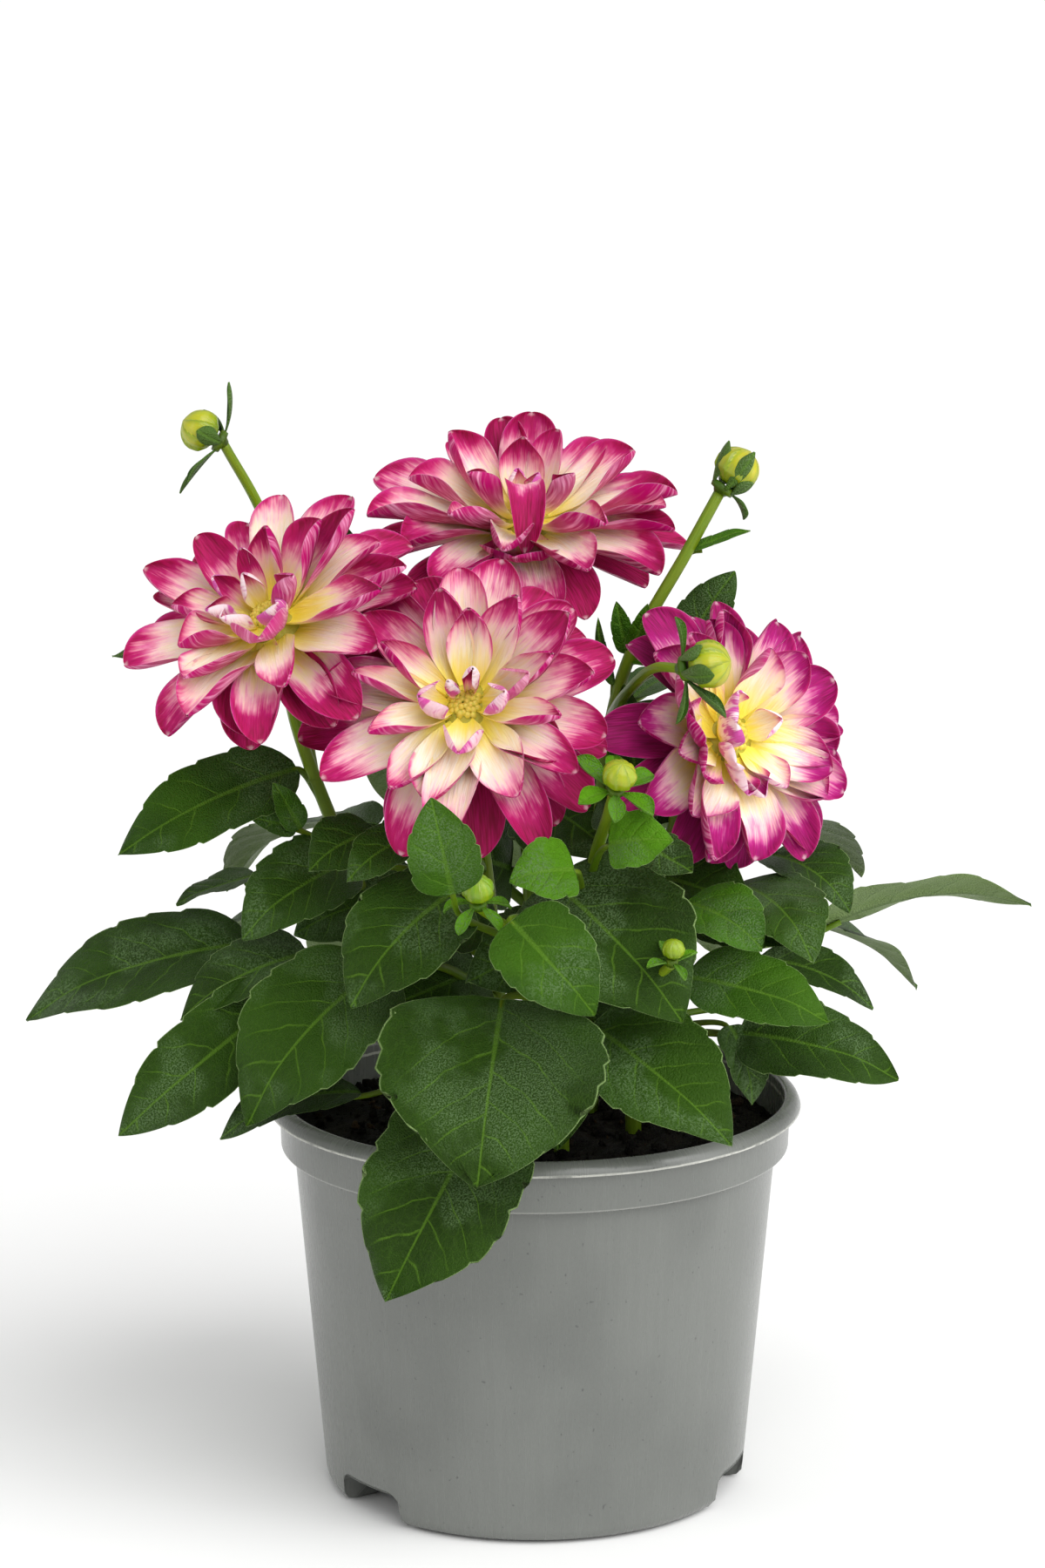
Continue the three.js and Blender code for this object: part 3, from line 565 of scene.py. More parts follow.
# %% The pot's finish
def pot_finish():
    """Grey satin plastic with a green tint: faint streaks up the wall, a few fine specks, and two
    pale lines, a ragged one under the lip and a finer one at the foot of the band."""
    material, tree = new_material("nursery pot plastic")
    place = object_place(tree)
    x, y, z = node(tree, "SeparateXYZ", {0: place}).outputs
    wall_place = combined(X=maths("ARCTAN2", x, y), Y=times(z, 1.2))
    streaks, ragged = noise(wall_place, 26.0, 3.0, 0.6), noise(wall_place, 9.0, 4.0, 0.7)
    _, grain = use_group(MOTTLE, Vector=place, Patch_Scale=22.0, Grain_Scale=1400.0)
    wave = times(minus(ragged, 0.5), 0.0012)
    lip = maths("ABSOLUTE", minus(plus(z, wave), (POT_HEIGHT - 3.4) * MM))
    seam = maths("ABSOLUTE", minus(z, (POT_HEIGHT - BAND_HEIGHT + 0.8) * MM))
    colour = layered(
        blend(fade(streaks, 0.35, 0.65), (0.147, 0.154, 0.142), (0.153, 0.16, 0.148)),
        (times(fade(noise(place, 26.0), 0.4, 0.7), 0.7), (0.115, 0.121, 0.112)),
        (times(grain, 0.1), (0.2, 0.21, 0.195)),
        (fade(noise(place, 1100.0, 0.0), 0.8, 0.86, 0.0, 0.75), (0.07, 0.073, 0.07)),
        (times(fade(lip, 0.0002, 0.0005, 1.0, 0.0), fade(ragged, 0.35, 0.55, 0.25, 0.9)),
         (0.55, 0.55, 0.5)),
        (fade(seam, 0.0001, 0.0003, 0.45, 0.0), (0.4, 0.4, 0.37)))
    values = {"Roughness": plus(times(streaks, 0.1), 0.22)}
    height = plus(times(streaks, 0.5), times(grain, 0.12))
    return finished(material, colour, values, height, 0.0003, 0.25)


make_piece("nursery_pot", [pot_surface(profile), floor_sectors()], pot_finish(), "pot_plastic", "pot",
           crease=38)

# %% [markdown]
# ## The soil
# Potting soil is dark, moist and crumbly. Its body is a turned plug that fills the pot, with a top
# that rises and falls by a few sums of waves. A bump alone would look flat at the rim, so crumbs
# and fibres lie on top: one small rounded lump repeated nine hundred times with its own size and
# turn, so each has only a few dozen faces.

# %% The soil's surface
SOIL_HEIGHT, SOIL_RIM_HEIGHT = 96.5, 95.0


def soil_top(x, y):
    """Height of the soil: nearly level, lower at the wall, with waves of three lengths."""
    level = SOIL_HEIGHT - (SOIL_HEIGHT - SOIL_RIM_HEIGHT) * step(np.hypot(x, y), 34, 65)
    waves = (0.7 * np.sin(0.21 * x) * np.cos(0.17 * y + 1) + 0.35 * np.sin(0.5 * x + 0.31 * y)
             + 0.25 * np.cos(0.83 * y - 0.4 * x) + 0.2 * np.sin(1.7 * x) * np.sin(1.5 * y))
    return level + waves


def soil_plug(sides=128):
    """The plug: up the inside of the wall, then over the top in closing rings."""
    wall = [(0.01, FLOOR_HEIGHT + 1.5), (54.4, FLOOR_HEIGHT + 1.5), (61.7, 93.0), (65.0, 94.2)]
    rings = np.linspace(65.0, 0.4, 70)[:, None]
    plug = turned(np.vstack([wall, np.hstack([rings, np.full_like(rings, SOIL_HEIGHT)])]), sides)
    x, y, z = plug["points"].T
    plug["points"][:, 2] = np.where(z > 94.5, soil_top(x, y), z)
    return plug


def crumbs(count=900, seed=5):
    """Rounded lumps of 5 by 6 points, each squashed, turned and scaled by its own draws, and sunk
    by a third in the soil."""
    rng = np.random.default_rng(seed)
    reach = 63.0 * np.sqrt(rng.random(count))
    way = 2 * np.pi * rng.random(count)
    x, y = reach * np.cos(way), reach * np.sin(way)
    size = 0.35 + 1.5 * rng.random(count) ** 3
    polar = np.linspace(0.35, np.pi - 0.35, 5)[:, None]
    turn = 2 * np.pi * np.arange(6)[None] / 6
    ball = grid_of(np.sin(polar) * np.cos(turn), np.sin(polar) * np.sin(turn), np.cos(polar))
    ball = ball[None] * (1 + 0.28 * rng.standard_normal((count, 5, 6, 1)).clip(-1.5, 1.5))
    squash = size[:, None] * (0.6 + 0.8 * rng.random((count, 3)))
    spin = 2 * np.pi * rng.random(count)
    ball = ball * squash[:, None, None]
    c, s = np.cos(spin)[:, None, None], np.sin(spin)[:, None, None]
    points = np.stack([
        ball[..., 0] * c - ball[..., 1] * s + x[:, None, None],
        ball[..., 0] * s + ball[..., 1] * c + y[:, None, None],
        ball[..., 2] + (soil_top(x, y) + 0.3 * size)[:, None, None]], -1)
    return closed_grid(points, np.zeros((count, 5, 7, 2)), draw=rng.random(count)[:, None, None])


print("height of the soil in the middle:", round(float(soil_top(0, 0)), 1))

# %% The soil's finish
def soil_finish():
    """Moist dark compost: near black, with brown fibres and a rough, granular surface."""
    material, tree = new_material("moist potting soil")
    patches, grain = use_group(MOTTLE, Vector=object_place(tree), Patch_Scale=160.0, Grain_Scale=1500.0)
    colour = layered(blend(patches, (0.003, 0.0025, 0.002), (0.012, 0.009, 0.006)),
                     (fade(*marks(tree, "draw"), 0.86, 0.97), (0.05, 0.03, 0.014)))
    values = {"Roughness": 0.85, "Specular IOR Level": 0.15}
    return finished(material, colour, values, grain, 0.0008, 0.8)


make_piece("potting_soil", [soil_plug(), crumbs()], soil_finish(), "soil", "soil")

# %% [markdown]
# ## Thin living sheets
# A petal and a leaf are both a middle surface with a skin on each side. Solidify could give a
# plane its thickness, but an even one. Here the skin is thickest in the middle and thins to
# nothing at the edge, so a fine edge line catches the light as on the real plant. Columns lie
# closer together towards the edges, where the outline needs them.

# %% A sheet with two faces
def closed_sheet(upper, normal, thickness, uv, **marks):
    """upper is (n, rows, cols, 3). The lower face lies the thickness under it, except at the two
    edges, where both faces share their points. The mark side is 1 above and 0 below."""
    def there_and_back(above, below):
        return np.concatenate([above, below[:, :, -2:0:-1]], 2)

    shape = upper.shape[:3]
    under = upper - normal * np.broadcast_to(thickness, shape)[..., None]
    round_uv = np.concatenate([there_and_back(uv, uv), uv[:, :, :1]], 2)
    whole = {key: np.broadcast_to(value, shape) for key, value in marks.items()}
    both = {key: there_and_back(value, value) for key, value in whole.items()}
    side = there_and_back(np.ones(shape), np.zeros(shape))
    return closed_grid(there_and_back(upper, under), round_uv, side=side, **both)


def edge_columns(cols):
    """Places from -1 to 1 across a sheet, closer together at both edges: the sine of even angles."""
    return np.sin(np.linspace(-np.pi / 2, np.pi / 2, cols))[None, None, :]


def many(values):
    """A value for each of n sheets, ready to meet rows and columns."""
    return np.asarray(values, float)[:, None, None]


print("five columns lie at", edge_columns(5)[0, 0].round(2))

# %% [markdown]
# ## Petals
# A dahlia's petals stand in one spiral: each is turned on by the golden angle, and from the outside
# to the heart they grow shorter, steeper and more cupped. A petal starts narrow, widens, and ends
# in a blunt tip. Its middle line is an arc that starts at one slope over the bloom's plane and ends
# at another. On top of that come what makes petals alive: a rolled tip, a wavy edge, fine ridges
# along the cells, a lean to one side, and no two alike. Sculpting a hundred petals by hand would
# take days, so one formula makes them all, and each petal is a row of numbers.

# %% The petal surface
PETAL_ROWS, PETAL_COLUMNS, PETAL_SKIN = 26, 15, 0.42
WIDEST, BASE_SHARE = 0.58, 0.34
# The most by which petals differ: hook and twist in degrees, the others as shares.
PETAL_VARIETY = {"hook": 16, "lean": 0.07, "twist": 14, "wave": 0.07, "phase": 1, "roll": 0.5,
                 "fold": 1, "notch": 1, "tall": 0.06, "wide": 0.09}


def petal_outline(t):
    """Half width as a share of its widest: a rising sine, then 1 - x to the power 2.5, to the power
    0.64, where x runs from 0 at the widest to 1 at the tip."""
    rising = BASE_SHARE + (1 - BASE_SHARE) * np.sin(np.pi / 2 * t / WIDEST)
    x = np.clip(t - WIDEST, 0, 1 - WIDEST) / (1 - WIDEST)
    return np.where(t < WIDEST, rising, (1 - x**2.5).clip(0) ** 0.64)


def petal_surfaces(foot, out, axis, rule, seed, **marks):
    """n petals at once. foot and out are (n, 3); rule holds n values each.

    The slope along t runs evenly from rise to bend, plus a hook on the last third. The middle line
    is the running sum of the cosine of the slope outwards and of its sine along the axis. Across,
    the petal is a circular arc of the cup angle, deeper towards the tip, with rolled edges, ridges
    and waves added along the normal. The outline to the power point, above 1, makes a sharper tip.
    """
    rng = np.random.default_rng(seed)
    n = len(foot)
    t = (1 - (1 - np.linspace(0, 1, PETAL_ROWS)) ** 1.5)[None, :, None] * 0.996
    u = edge_columns(PETAL_COLUMNS)
    edge = np.abs(u)
    draw = {key: most * rng.uniform(-1, 1, (n, 1, 1)) for key, most in PETAL_VARIETY.items()}
    keys = ("rise", "bend", "hook", "length", "width", "cup", "roll", "fold", "point")
    rise, bend, hook, length, width, cup, roll, fold, point = (many(rule[key]) for key in keys)
    slope = np.radians(rise + (bend - rise) * t + (hook + draw["hook"]) * step(t, 0.62, 1.0))
    length = length * (1 + draw["tall"])
    dt = np.diff(t, axis=1, prepend=0)
    middle = (slope + np.roll(slope, 1, 1)) / 2
    middle[:, 0] = slope[:, 0]
    reach = np.cumsum(np.cos(middle) * dt, 1) * length
    height = np.cumsum(np.sin(middle) * dt, 1) * length
    half = width / 2 * (1 + draw["wide"]) * petal_outline(t) ** point
    folded = step(draw["fold"], 0.45, 0.9) * fold
    cup = np.radians(cup) * (1 + 0.5 * t**2) * (1 + 0.2 * draw["fold"] + 0.9 * folded)
    half = half * (1 - 0.12 * folded)
    across = half * np.sin(cup * u) / cup
    lift = half * (1 - np.cos(cup * u)) / cup
    roll = roll * (1 + draw["roll"])
    lift = lift + roll * half * step(edge, 0.45, 1.0) ** 2 * step(t, 0.25, 0.8)
    across = across * (1 - 0.2 * roll * step(edge, 0.5, 1.0) * step(t, 0.3, 0.9))
    ridges = np.cos(3.5 * np.pi * u + 2 * draw["phase"]) * step(t, 0.05, 0.3) * (1 - edge**4)
    waves = edge**2 * np.sin(2 * np.pi * (1.4 * t + draw["phase"]) + 2 * u)
    lift = lift + half * (0.028 * ridges + draw["wave"] * waves + 0.1 * draw["fold"] * u * t)
    across = across + length * draw["lean"] * t**2
    notch = (0.3 + draw["notch"]).clip(0) * np.exp(-((u / 0.16) ** 2)) * step(t, 0.88, 1.0)
    reach = reach - 0.175 * half * notch
    twist = np.radians(draw["twist"]) * t
    across, lift = (across * np.cos(twist) - lift * np.sin(twist),
                    across * np.sin(twist) + lift * np.cos(twist))
    side = np.cross(axis, out)
    o, s, a = (v[:, None, None] for v in (out, side, np.broadcast_to(axis, out.shape)))
    normal = a * np.cos(slope)[..., None] - o * np.sin(slope)[..., None]
    upper = (foot[:, None, None] + o * reach[..., None] + a * height[..., None]
             + s * across[..., None] + normal * lift[..., None])
    inward = normal * np.cos(cup * u)[..., None] - s * np.sin(cup * u)[..., None]
    marks = {key: many(np.broadcast_to(value, n)) for key, value in marks.items()}
    return closed_sheet(upper, inward, PETAL_SKIN * (1 - edge**6), grid_of(half * u, length * t),
                        reach=t, edge=edge, draw=many(rng.random(n)), **marks)


print("half width at foot, middle and tip:", petal_outline(np.array([0, 0.5, 1])).round(2))

# %% Where the petals are
PETAL_COUNT, OUTER_COUNT, GOLDEN_ANGLE = 33, 17, 137.508
RECEPTACLE_RADIUS, CORE_RADIUS, GAP = 7.2, 10.0, 0.3

# A bloom's inner petals are rows of azimuth, radius of the foot, length, width, first and last
# slope, cup angle, and the share of the length where magenta begins. Cool and yellow are how cool
# its magenta is and how far yellow reaches; tuck shortens and raises the petals that lie against
# the neighbours.
BLOOMS = {
    "back": {"centre": (-3, 31, 247), "axis": (0, -0.3, 0.95), "size": 1.02, "phase": 0,
             "cool": 0.15, "yellow": 0.35, "inner": [
        (278, -7, 43, 11, 85, -78, 30, 0.42), (268, 6.5, 27, 21, -16, 34, 16, 0.3),
        (202, 4, 20, 11, 34, 74, 70, 0.62), (338, 4, 19, 12, 34, 70, 66, 0.6),
        (91, 6, 19, 15, 52, 74, 38, 0.62), (88, 7, 28, 17, 34, 44, 36, 0.68),
        (103, 7, 28, 14, 28, 36, 36, 0.15), (178, 6, 28.5, 17, 24, 34, 40, 0.82),
        (147, 6, 27.5, 15, 38, 50, 45, 0.7), (23, 6, 28, 18, 24, 34, 34, 0.78),
        (62, 6, 23, 12, 46, 62, 55, 0.72), (228, 5.5, 27, 14, 12, 42, 66, 0.8),
        (312, 5.5, 29, 14, 10, 36, 66, 0.74), (201, 6, 36, 15, 12, 16, 42, 0.8),
        (342, 6.5, 37, 13, 8, 6, 30, 0.6), (358, 6, 35, 16, 12, 16, 38, 0.66),
        (120, 3, 12, 8, 60, 100, 70, 0.8), (20, 3, 12, 8, 60, 105, 70, 0.8)]},
    "left": {"centre": (-65, -25, 232), "axis": (-0.36, -0.56, 0.75), "size": 0.92, "phase": 56,
             "cool": 0.1, "yellow": 0.5, "inner": [
        (140, 3.5, 12, 9, 60, 95, 66, 0.74), (12, 4, 19, 13, 36, 72, 70, 0.6),
        (342, 4, 15, 12, 28, 80, 70, 0.72), (306, 4, 19, 17, 22, 50, 42, 0.88),
        (250, 4, 13, 11, 38, 80, 66, 0.84), (217, 4.5, 14, 10, 42, 68, 56, 0.66),
        (170, 5, 14, 8, 48, 62, 56, 0.5), (125, 5, 17, 7, 60, 72, 46, 0.5),
        (95, 5.5, 20, 13, 44, 58, 60, 0.62), (58, 6, 25, 15, 36, 46, 46, 0.55),
        (51, 6, 32.5, 14, 24, 32, 42, 0.45), (4, 6, 37, 14, 14, 32, 66, 0.6),
        (234, 5.5, 21, 14, 20, 38, 56, 0.84), (262, 5.5, 26, 17, 14, 34, 48, 0.86),
        (177, 6, 29.5, 14, 20, 28, 42, 0.66), (153, 6, 24.5, 13, 32, 44, 46, 0.5),
        (198, 6, 20, 12, 28, 40, 48, 0.72), (28, 7, 33, 15, 6, 2, 42, 0.5),
        (284, 6.5, 29, 22, 2, -28, 26, 0.35)]},
    "front": {"centre": (-17, -39, 214), "axis": (-0.05, -0.82, 0.57), "size": 0.97, "phase": 54,
              "cool": 0.15, "yellow": 0.5, "inner": [
        (62, 2.5, 14, 7, 62, 95, 110, 0.3), (150, 3, 10, 7, 55, 110, 100, 0.4),
        (200, 4.0, 17, 13, 26, 96, 62, 0.82), (272, 4.4, 17, 12.5, 10, 64, 62, 0.84),
        (345, 4.0, 17, 12, 30, 92, 62, 0.8), (209, 5, 23, 13, 20, 36, 78, 0.88),
        (339, 5, 25, 12, 18, 38, 78, 0.82), (175, 5, 25, 13, 24, 38, 58, 0.86),
        (156, 5, 22, 12, 32, 48, 52, 0.72), (8, 5, 18.5, 12, 36, 60, 56, 0.8),
        (22, 5.5, 24, 11, 26, 42, 64, 0.8), (105, 5.5, 25, 16, 32, 44, 42, 0.66),
        (84, 5, 21, 14, 38, 50, 45, 0.74), (258, 5.5, 24.5, 17, 20, 10, 32, 0.92),
        (301, 5.5, 26.5, 17, 18, 8, 36, 0.86), (143, 6, 28, 16, 20, 30, 40, 0.62),
        (33, 6, 30, 15, 22, 30, 42, 0.62), (11, 6, 29, 14, 15, 24, 40, 0.66),
        (236, 6, 26, 12, 12, 22, 60, 0.8), (328, 6, 26, 15, 12, 18, 40, 0.72),
        (60, 5.5, 26, 14, 30, 42, 50, 0.7)]},
    "right": {"centre": (46, -18, 203), "axis": (0.6, -0.7, 0.38), "size": 0.9, "phase": 60,
              "cool": 0.9, "yellow": 0.6, "tuck": 0.22, "inner": [
        (168, 4.5, 15, 12, 50, 82, 38, 0.55), (172, 6.5, 26, 14, 22, 58, 38, 0.6),
        (205, 6.5, 25, 13, 18, 54, 38, 0.55), (154, 5.5, 32, 16, 20, 40, 46, 0.92),
        (218, 5.0, 13, 10, 34, 70, 36, 0.6), (246, 5.4, 15, 9.5, 16, 52, 36, 0.6),
        (270, 5.0, 16, 10, 12, 42, 38, 0.66), (294, 4.5, 16, 11, 20, 38, 40, 0.88),
        (313, 6, 24, 17, 12, 16, 36, 0.82), (330, 5.5, 22, 16, 20, 26, 36, 0.74),
        (344, 6, 27.5, 18, 10, 8, 32, 0.6), (65, 5.5, 19, 15, 32, 52, 50, 0.86),
        (16, 6, 27, 17, 16, 22, 36, 0.62), (88, 6.5, 26, 16, 18, 24, 36, 0.42),
        (2, 4, 11, 10, 38, 70, 56, 0.96), (118, 4.5, 15, 9, 50, 78, 60, 0.8),
        (40, 6, 25, 15, 24, 34, 40, 0.7), (295, 6.5, 31.5, 16, 4, -8, 34, 0.6),
        (230, 6.5, 34, 14, 8, 22, 40, 0.5), (120, 6, 27, 15, 22, 36, 44, 0.6)]},
}
print("petals placed one by one:", sum(len(bloom["inner"]) for bloom in BLOOMS.values()))

# %% The rings of petals
def around(flower, azimuth):
    """Directions in the flower's plane at azimuths in degrees from its right."""
    right, rise, _ = face_frame(flower["axis"])
    turn = np.radians(azimuth)[:, None]
    return right * np.cos(turn) + rise * np.sin(turn)


def petals_round(flower, azimuth, from_axis, height, rule, seed, **marks):
    """Petals whose feet stand a distance from the flower's axis and a height over its foot. A rule
    with a single value holds for all of them."""
    n = len(azimuth)
    out, axis = around(flower, azimuth), unit(flower["axis"])
    from_axis, height = (np.broadcast_to(v, n)[:, None] for v in (from_axis, height))
    foot = np.array(flower["centre"]) + out * from_axis + axis * height
    rule = {key: np.broadcast_to(value, n) for key, value in {"point": 1.0, **rule}.items()}
    return petal_surfaces(foot, out, axis, rule, seed, **marks)


def spiral_petals(bloom, tint, seed):
    """Petal k of the spiral has s = k / 32, from 0 outside to 1 at the heart, and its sizes and
    slopes are short sums of powers of s. Only the outer 17 are made here. The tuck is strongest at
    185 degrees and falls off with the cosine."""
    k = np.arange(OUTER_COUNT)
    s = k / (PETAL_COUNT - 1)
    draw, other = wobble(k, bloom["phase"]), wobble(k, bloom["phase"] + 5)
    azimuth = bloom["phase"] + GOLDEN_ANGLE * k + 6 * other
    tuck = bloom.get("tuck", 0) * np.cos(np.radians(azimuth - 185)).clip(0)
    rule = {
        "length": bloom["size"] * (36 - 5 * s - 19 * s**2.6) * (1 + 0.05 * other) * (1 - tuck),
        "width": bloom["size"] * (17.6 - 9 * s**2) * (1 + 0.06 * draw),
        "rise": 1 + 70 * s + 2 * other + 70 * tuck, "bend": -24 + 52 * s + 58 * s**5 + 5 * draw,
        "cup": 22 + 38 * s**2, "hook": 14 * s - 2, "roll": 0.22 + 0.34 * s, "fold": 0.3 + 0.7 * s,
    }
    cut = 0.54 + 0.2 * step(s, 0.0, 0.4) + 0.1 * s + 0.12 * draw
    return petals_round(bloom, azimuth, 8 - 3.4 * s, 2.3 + 4.4 * s, rule, seed, cut=cut, heart=s, **tint)


def under_petals(bloom, tint, seed, count=9):
    """The lowest petals, nearly all magenta: they hang between the outermost ones of the spiral."""
    k = np.arange(count)
    draw = wobble(k, bloom["phase"] + 9)
    azimuth = bloom["phase"] + 360 / count * (k + 0.5) + 9 * draw
    rule = {"length": bloom["size"] * (30 + 1.5 * draw), "width": bloom["size"] * (16 + draw),
            "rise": -2 + 2 * draw, "bend": -27 + 6 * draw,
            "cup": 24, "hook": -4, "roll": 0.1, "fold": 0}
    return petals_round(bloom, azimuth, 8, 2.1, rule, seed, cut=0.05 + 0.12 * draw, heart=0, **tint)


def inner_petals(bloom, tint, seed):
    """The petals of the inner rings, one row each. Short ones hook and roll more, wide ones less."""
    azimuth, foot, length, width, rise, bend, cup, cut = np.array(bloom["inner"], float).T
    short = step(length, 22, 14)
    rule = {"length": length, "width": width, "rise": rise, "bend": bend, "cup": cup, "fold": 0.35,
            "hook": 5 + 9 * short, "roll": 0.3 + 0.12 * short - 0.2 * step(width, 17, 21)}
    return petals_round(bloom, azimuth, foot, 8 - 0.055 * foot**2, rule, seed,
                        cut=cut, heart=0.6 + 0.7 * short, **tint)


print("petals of the spiral in each bloom:", OUTER_COUNT)

# %% The heart of a bloom
def core_surface(bloom):
    """The dome that carries the petals, flat below, in the bloom's own directions."""
    shares = [(0.97, 2.2), (0.88, 4.4), (0.7, 6.4), (0.4, 7.7)]
    line = [(0.01, GAP), (RECEPTACLE_RADIUS, GAP), *((CORE_RADIUS * r, z) for r, z in shares), (0.01, 8.1)]
    return moved(turned(line, 32), bloom)


def florets(bloom, count=34):
    """Closed young florets on the dome: small tubes that swell, close and lean to the middle, on a
    golden spiral whose radius is the root of the share of the count."""
    k = np.arange(count)
    share = np.sqrt((k + 0.5) / count)
    turn = np.radians(GOLDEN_ANGLE * k)
    x, y = share * np.cos(turn), share * np.sin(turn)
    foot = np.stack([4.8 * x, 4.8 * y, 7.9 - 2.0 * share**2], -1)
    axis = unit(np.stack([-0.5 * x, -0.5 * y, np.ones(count)], -1))
    side = unit(np.cross(axis, (0.3, 1.0, 0.1)))
    other = np.cross(axis, side)
    level = np.linspace(0, 1, 7)
    swell = np.interp(level, [0, 0.3, 0.7, 0.9, 1], [0.5, 0.85, 0.9, 0.55, 0.1])
    tall = 1.6 + 1.6 * share + 0.5 * wobble(k, 3)
    angle = 2 * np.pi * np.arange(8) / 8
    foot, axis, side, other = (v[:, None, None] for v in (foot, axis, side, other))
    ring = side * np.cos(angle)[:, None] + other * np.sin(angle)[:, None]
    points = foot + axis * (tall[:, None] * level)[:, :, None, None] + ring * swell[:, None, None]
    return moved(closed_grid(points, np.zeros((count, 7, 9, 2)), reach=level[None, :, None]), bloom)


print("points in the florets of a heart:", len(florets(BLOOMS["front"])["points"]))

# %% [markdown]
# ## How a petal is coloured
# A petal is yellow at its foot and cream along the middle, and magenta runs in from the tip and
# the edges in fine streaks, because the colour lies in rows of cells. A painted picture would blur
# close up. The colour is worked out from marks on the mesh: how far along and how near the edge a
# point lies, and past which share of the length its petal turns magenta. Noise frays that border.

# %% The petals' finish
def petal_finish():
    """Yellow at the foot, cream along the middle, magenta at the tip and edge, in fine streaks.
    Past is how far a point lies beyond the border of the magenta."""
    material, tree = new_material("two-tone petal")
    uv = uv_place(tree)
    along, edge, draw, side, heart, cool, cut, yellow = marks(
        tree, "reach", "edge", "draw", "side", "heart", "cool", "cut", "yellow")
    streaks = use_group(STREAKS, Vector=uv, Width=1.0, Length=13.0, Shift=draw)
    cloud_place = stretched(uv, (1.0, 0.6, 1.0), draw)
    clouds, _ = use_group(MOTTLE, Vector=cloud_place, Patch_Scale=0.22, Grain_Scale=2.4)
    broad, fine, cloud = (minus(value, 0.5) for value in (*streaks, clouds))
    threads = fade(fine, -0.2, 0.2)
    border = plus(along, times(maths("POWER", edge, 5.0), 0.2),
                  times(broad, 0.3), times(fine, 0.34), times(cloud, 0.13))
    past = minus(border, cut)
    past_yellow = minus(plus(along, times(broad, 0.5)), plus(times(yellow, 0.62), 0.12))
    red = blend(threads, (0.25, 0.0, 0.038), (0.43, 0.0, 0.095))
    purple = blend(threads, (0.22, 0.0, 0.08), (0.38, 0.0, 0.16))
    bright = blend(cool, (0.72, 0.006, 0.23), (0.58, 0.01, 0.32))
    magenta = layered(
        blend(times(cool, 0.9), red, purple),
        (fade(past, 0.3, 0.0, 0.0, 0.75), bright),
        (times(fade(fine, 0.04, 0.16), fade(past, 0.25, 0.05, 0.0, 0.4)), (0.84, 0.22, 0.5)))
    under = blend(fade(plus(broad, fine), -0.12, 0.5), (0.4, 0.002, 0.12), (0.88, 0.4, 0.6))
    pale_under = blend(fade(plus(cloud, fine), -0.25, 0.2), (0.58, 0.1, 0.38), (0.93, 0.76, 0.78))
    under = blend(fade(heart, 0.7, 1.3), under, pale_under)
    edge_line = times(fade(edge, 0.84, 0.97), fade(along, 0.3, 0.6, 0.0, 0.85),
                      fade(cloud, -0.2, 0.1, 0.2, 0.9))
    below = times(minus(1.0, side), fade(along, 0.15, 0.5, 0.0, 0.9))
    nib = times(fade(along, 0.955, 0.985), fade(edge, 0.15, 0.5, 0.4, 0.0))
    rim = times(fade(edge, 0.982, 0.998), fade(along, 0.3, 0.7, 0.0, 0.25))
    colour = layered(
        blend(threads, (0.94, 0.78, 0.56), (0.98, 0.9, 0.74)),
        (fade(past_yellow, -0.42, 0.14, 1.0, 0.0), (0.95, 0.79, 0.1)),
        (times(fade(past, -0.3, 0.02), 0.55), (0.97, 0.38, 0.6)),
        (times(fade(past, -0.14, 0.17), 0.98), magenta),
        (edge_line, (0.55, 0.02, 0.2)), (below, under),
        (nib, (0.9, 0.72, 0.74)), (rim, (0.92, 0.72, 0.82)))
    values = {"Roughness": 0.48, "Specular IOR Level": 0.07, "Subsurface Weight": 0.25,
              "Subsurface Radius": (1.0, 0.7, 0.55), "Subsurface Scale": 0.001}
    return finished(material, colour, values, plus(*streaks), 0.0006, 0.5)


petal_material = petal_finish()
print("material:", petal_material.name)

# %% The florets' finish, and the blooms in their places
def floret_finish():
    """The heart: fresh yellow green, paler and more yellow at the tips of the florets."""
    material, tree = new_material("young floret")
    patches, grain = use_group(MOTTLE, Vector=object_place(tree), Patch_Scale=260.0, Grain_Scale=1500.0)
    colour = layered(blend(*marks(tree, "reach"), (0.42, 0.4, 0.03), (0.86, 0.7, 0.12)),
                     (times(patches, 0.4), (0.55, 0.5, 0.05)))
    values = {"Roughness": 0.45, "Subsurface Weight": 0.2, "Subsurface Scale": 0.001}
    return finished(material, colour, values, grain, 0.0003, 0.4)


floret_material = floret_finish()
for number, (name, bloom) in enumerate(BLOOMS.items()):
    tint = {key: bloom[key] for key in ("cool", "yellow")}
    layers = [under_petals(bloom, tint, 40 + number), spiral_petals(bloom, tint, 10 + number),
              inner_petals(bloom, tint, 70 + number)]
    make_piece(f"petals_{name}", layers, petal_material, "petal", f"bloom_{name}")
    hearts = [core_surface(bloom), florets(bloom)]
    make_piece(f"florets_{name}", hearts, floret_material, "bud_green", f"bloom_{name}")

# %% [markdown]
# ## Leaves
# Each leaf lies where the solid one lies: root, tip and the way its face looks are the same. The
# outline is broad near the base and drawn out to the tip, with small forward teeth. The rows of
# the grid don't run straight across: they lean forward about as the side veins do, which keeps the
# grooves clean. Each point also knows its start, the place on the midrib where a side vein through
# it would leave, and veins lie an even step of starts apart. The blade bulges a little between
# them, waves at the margin, and folds along the middle. A flat card with a picture would give none
# of this from the side.

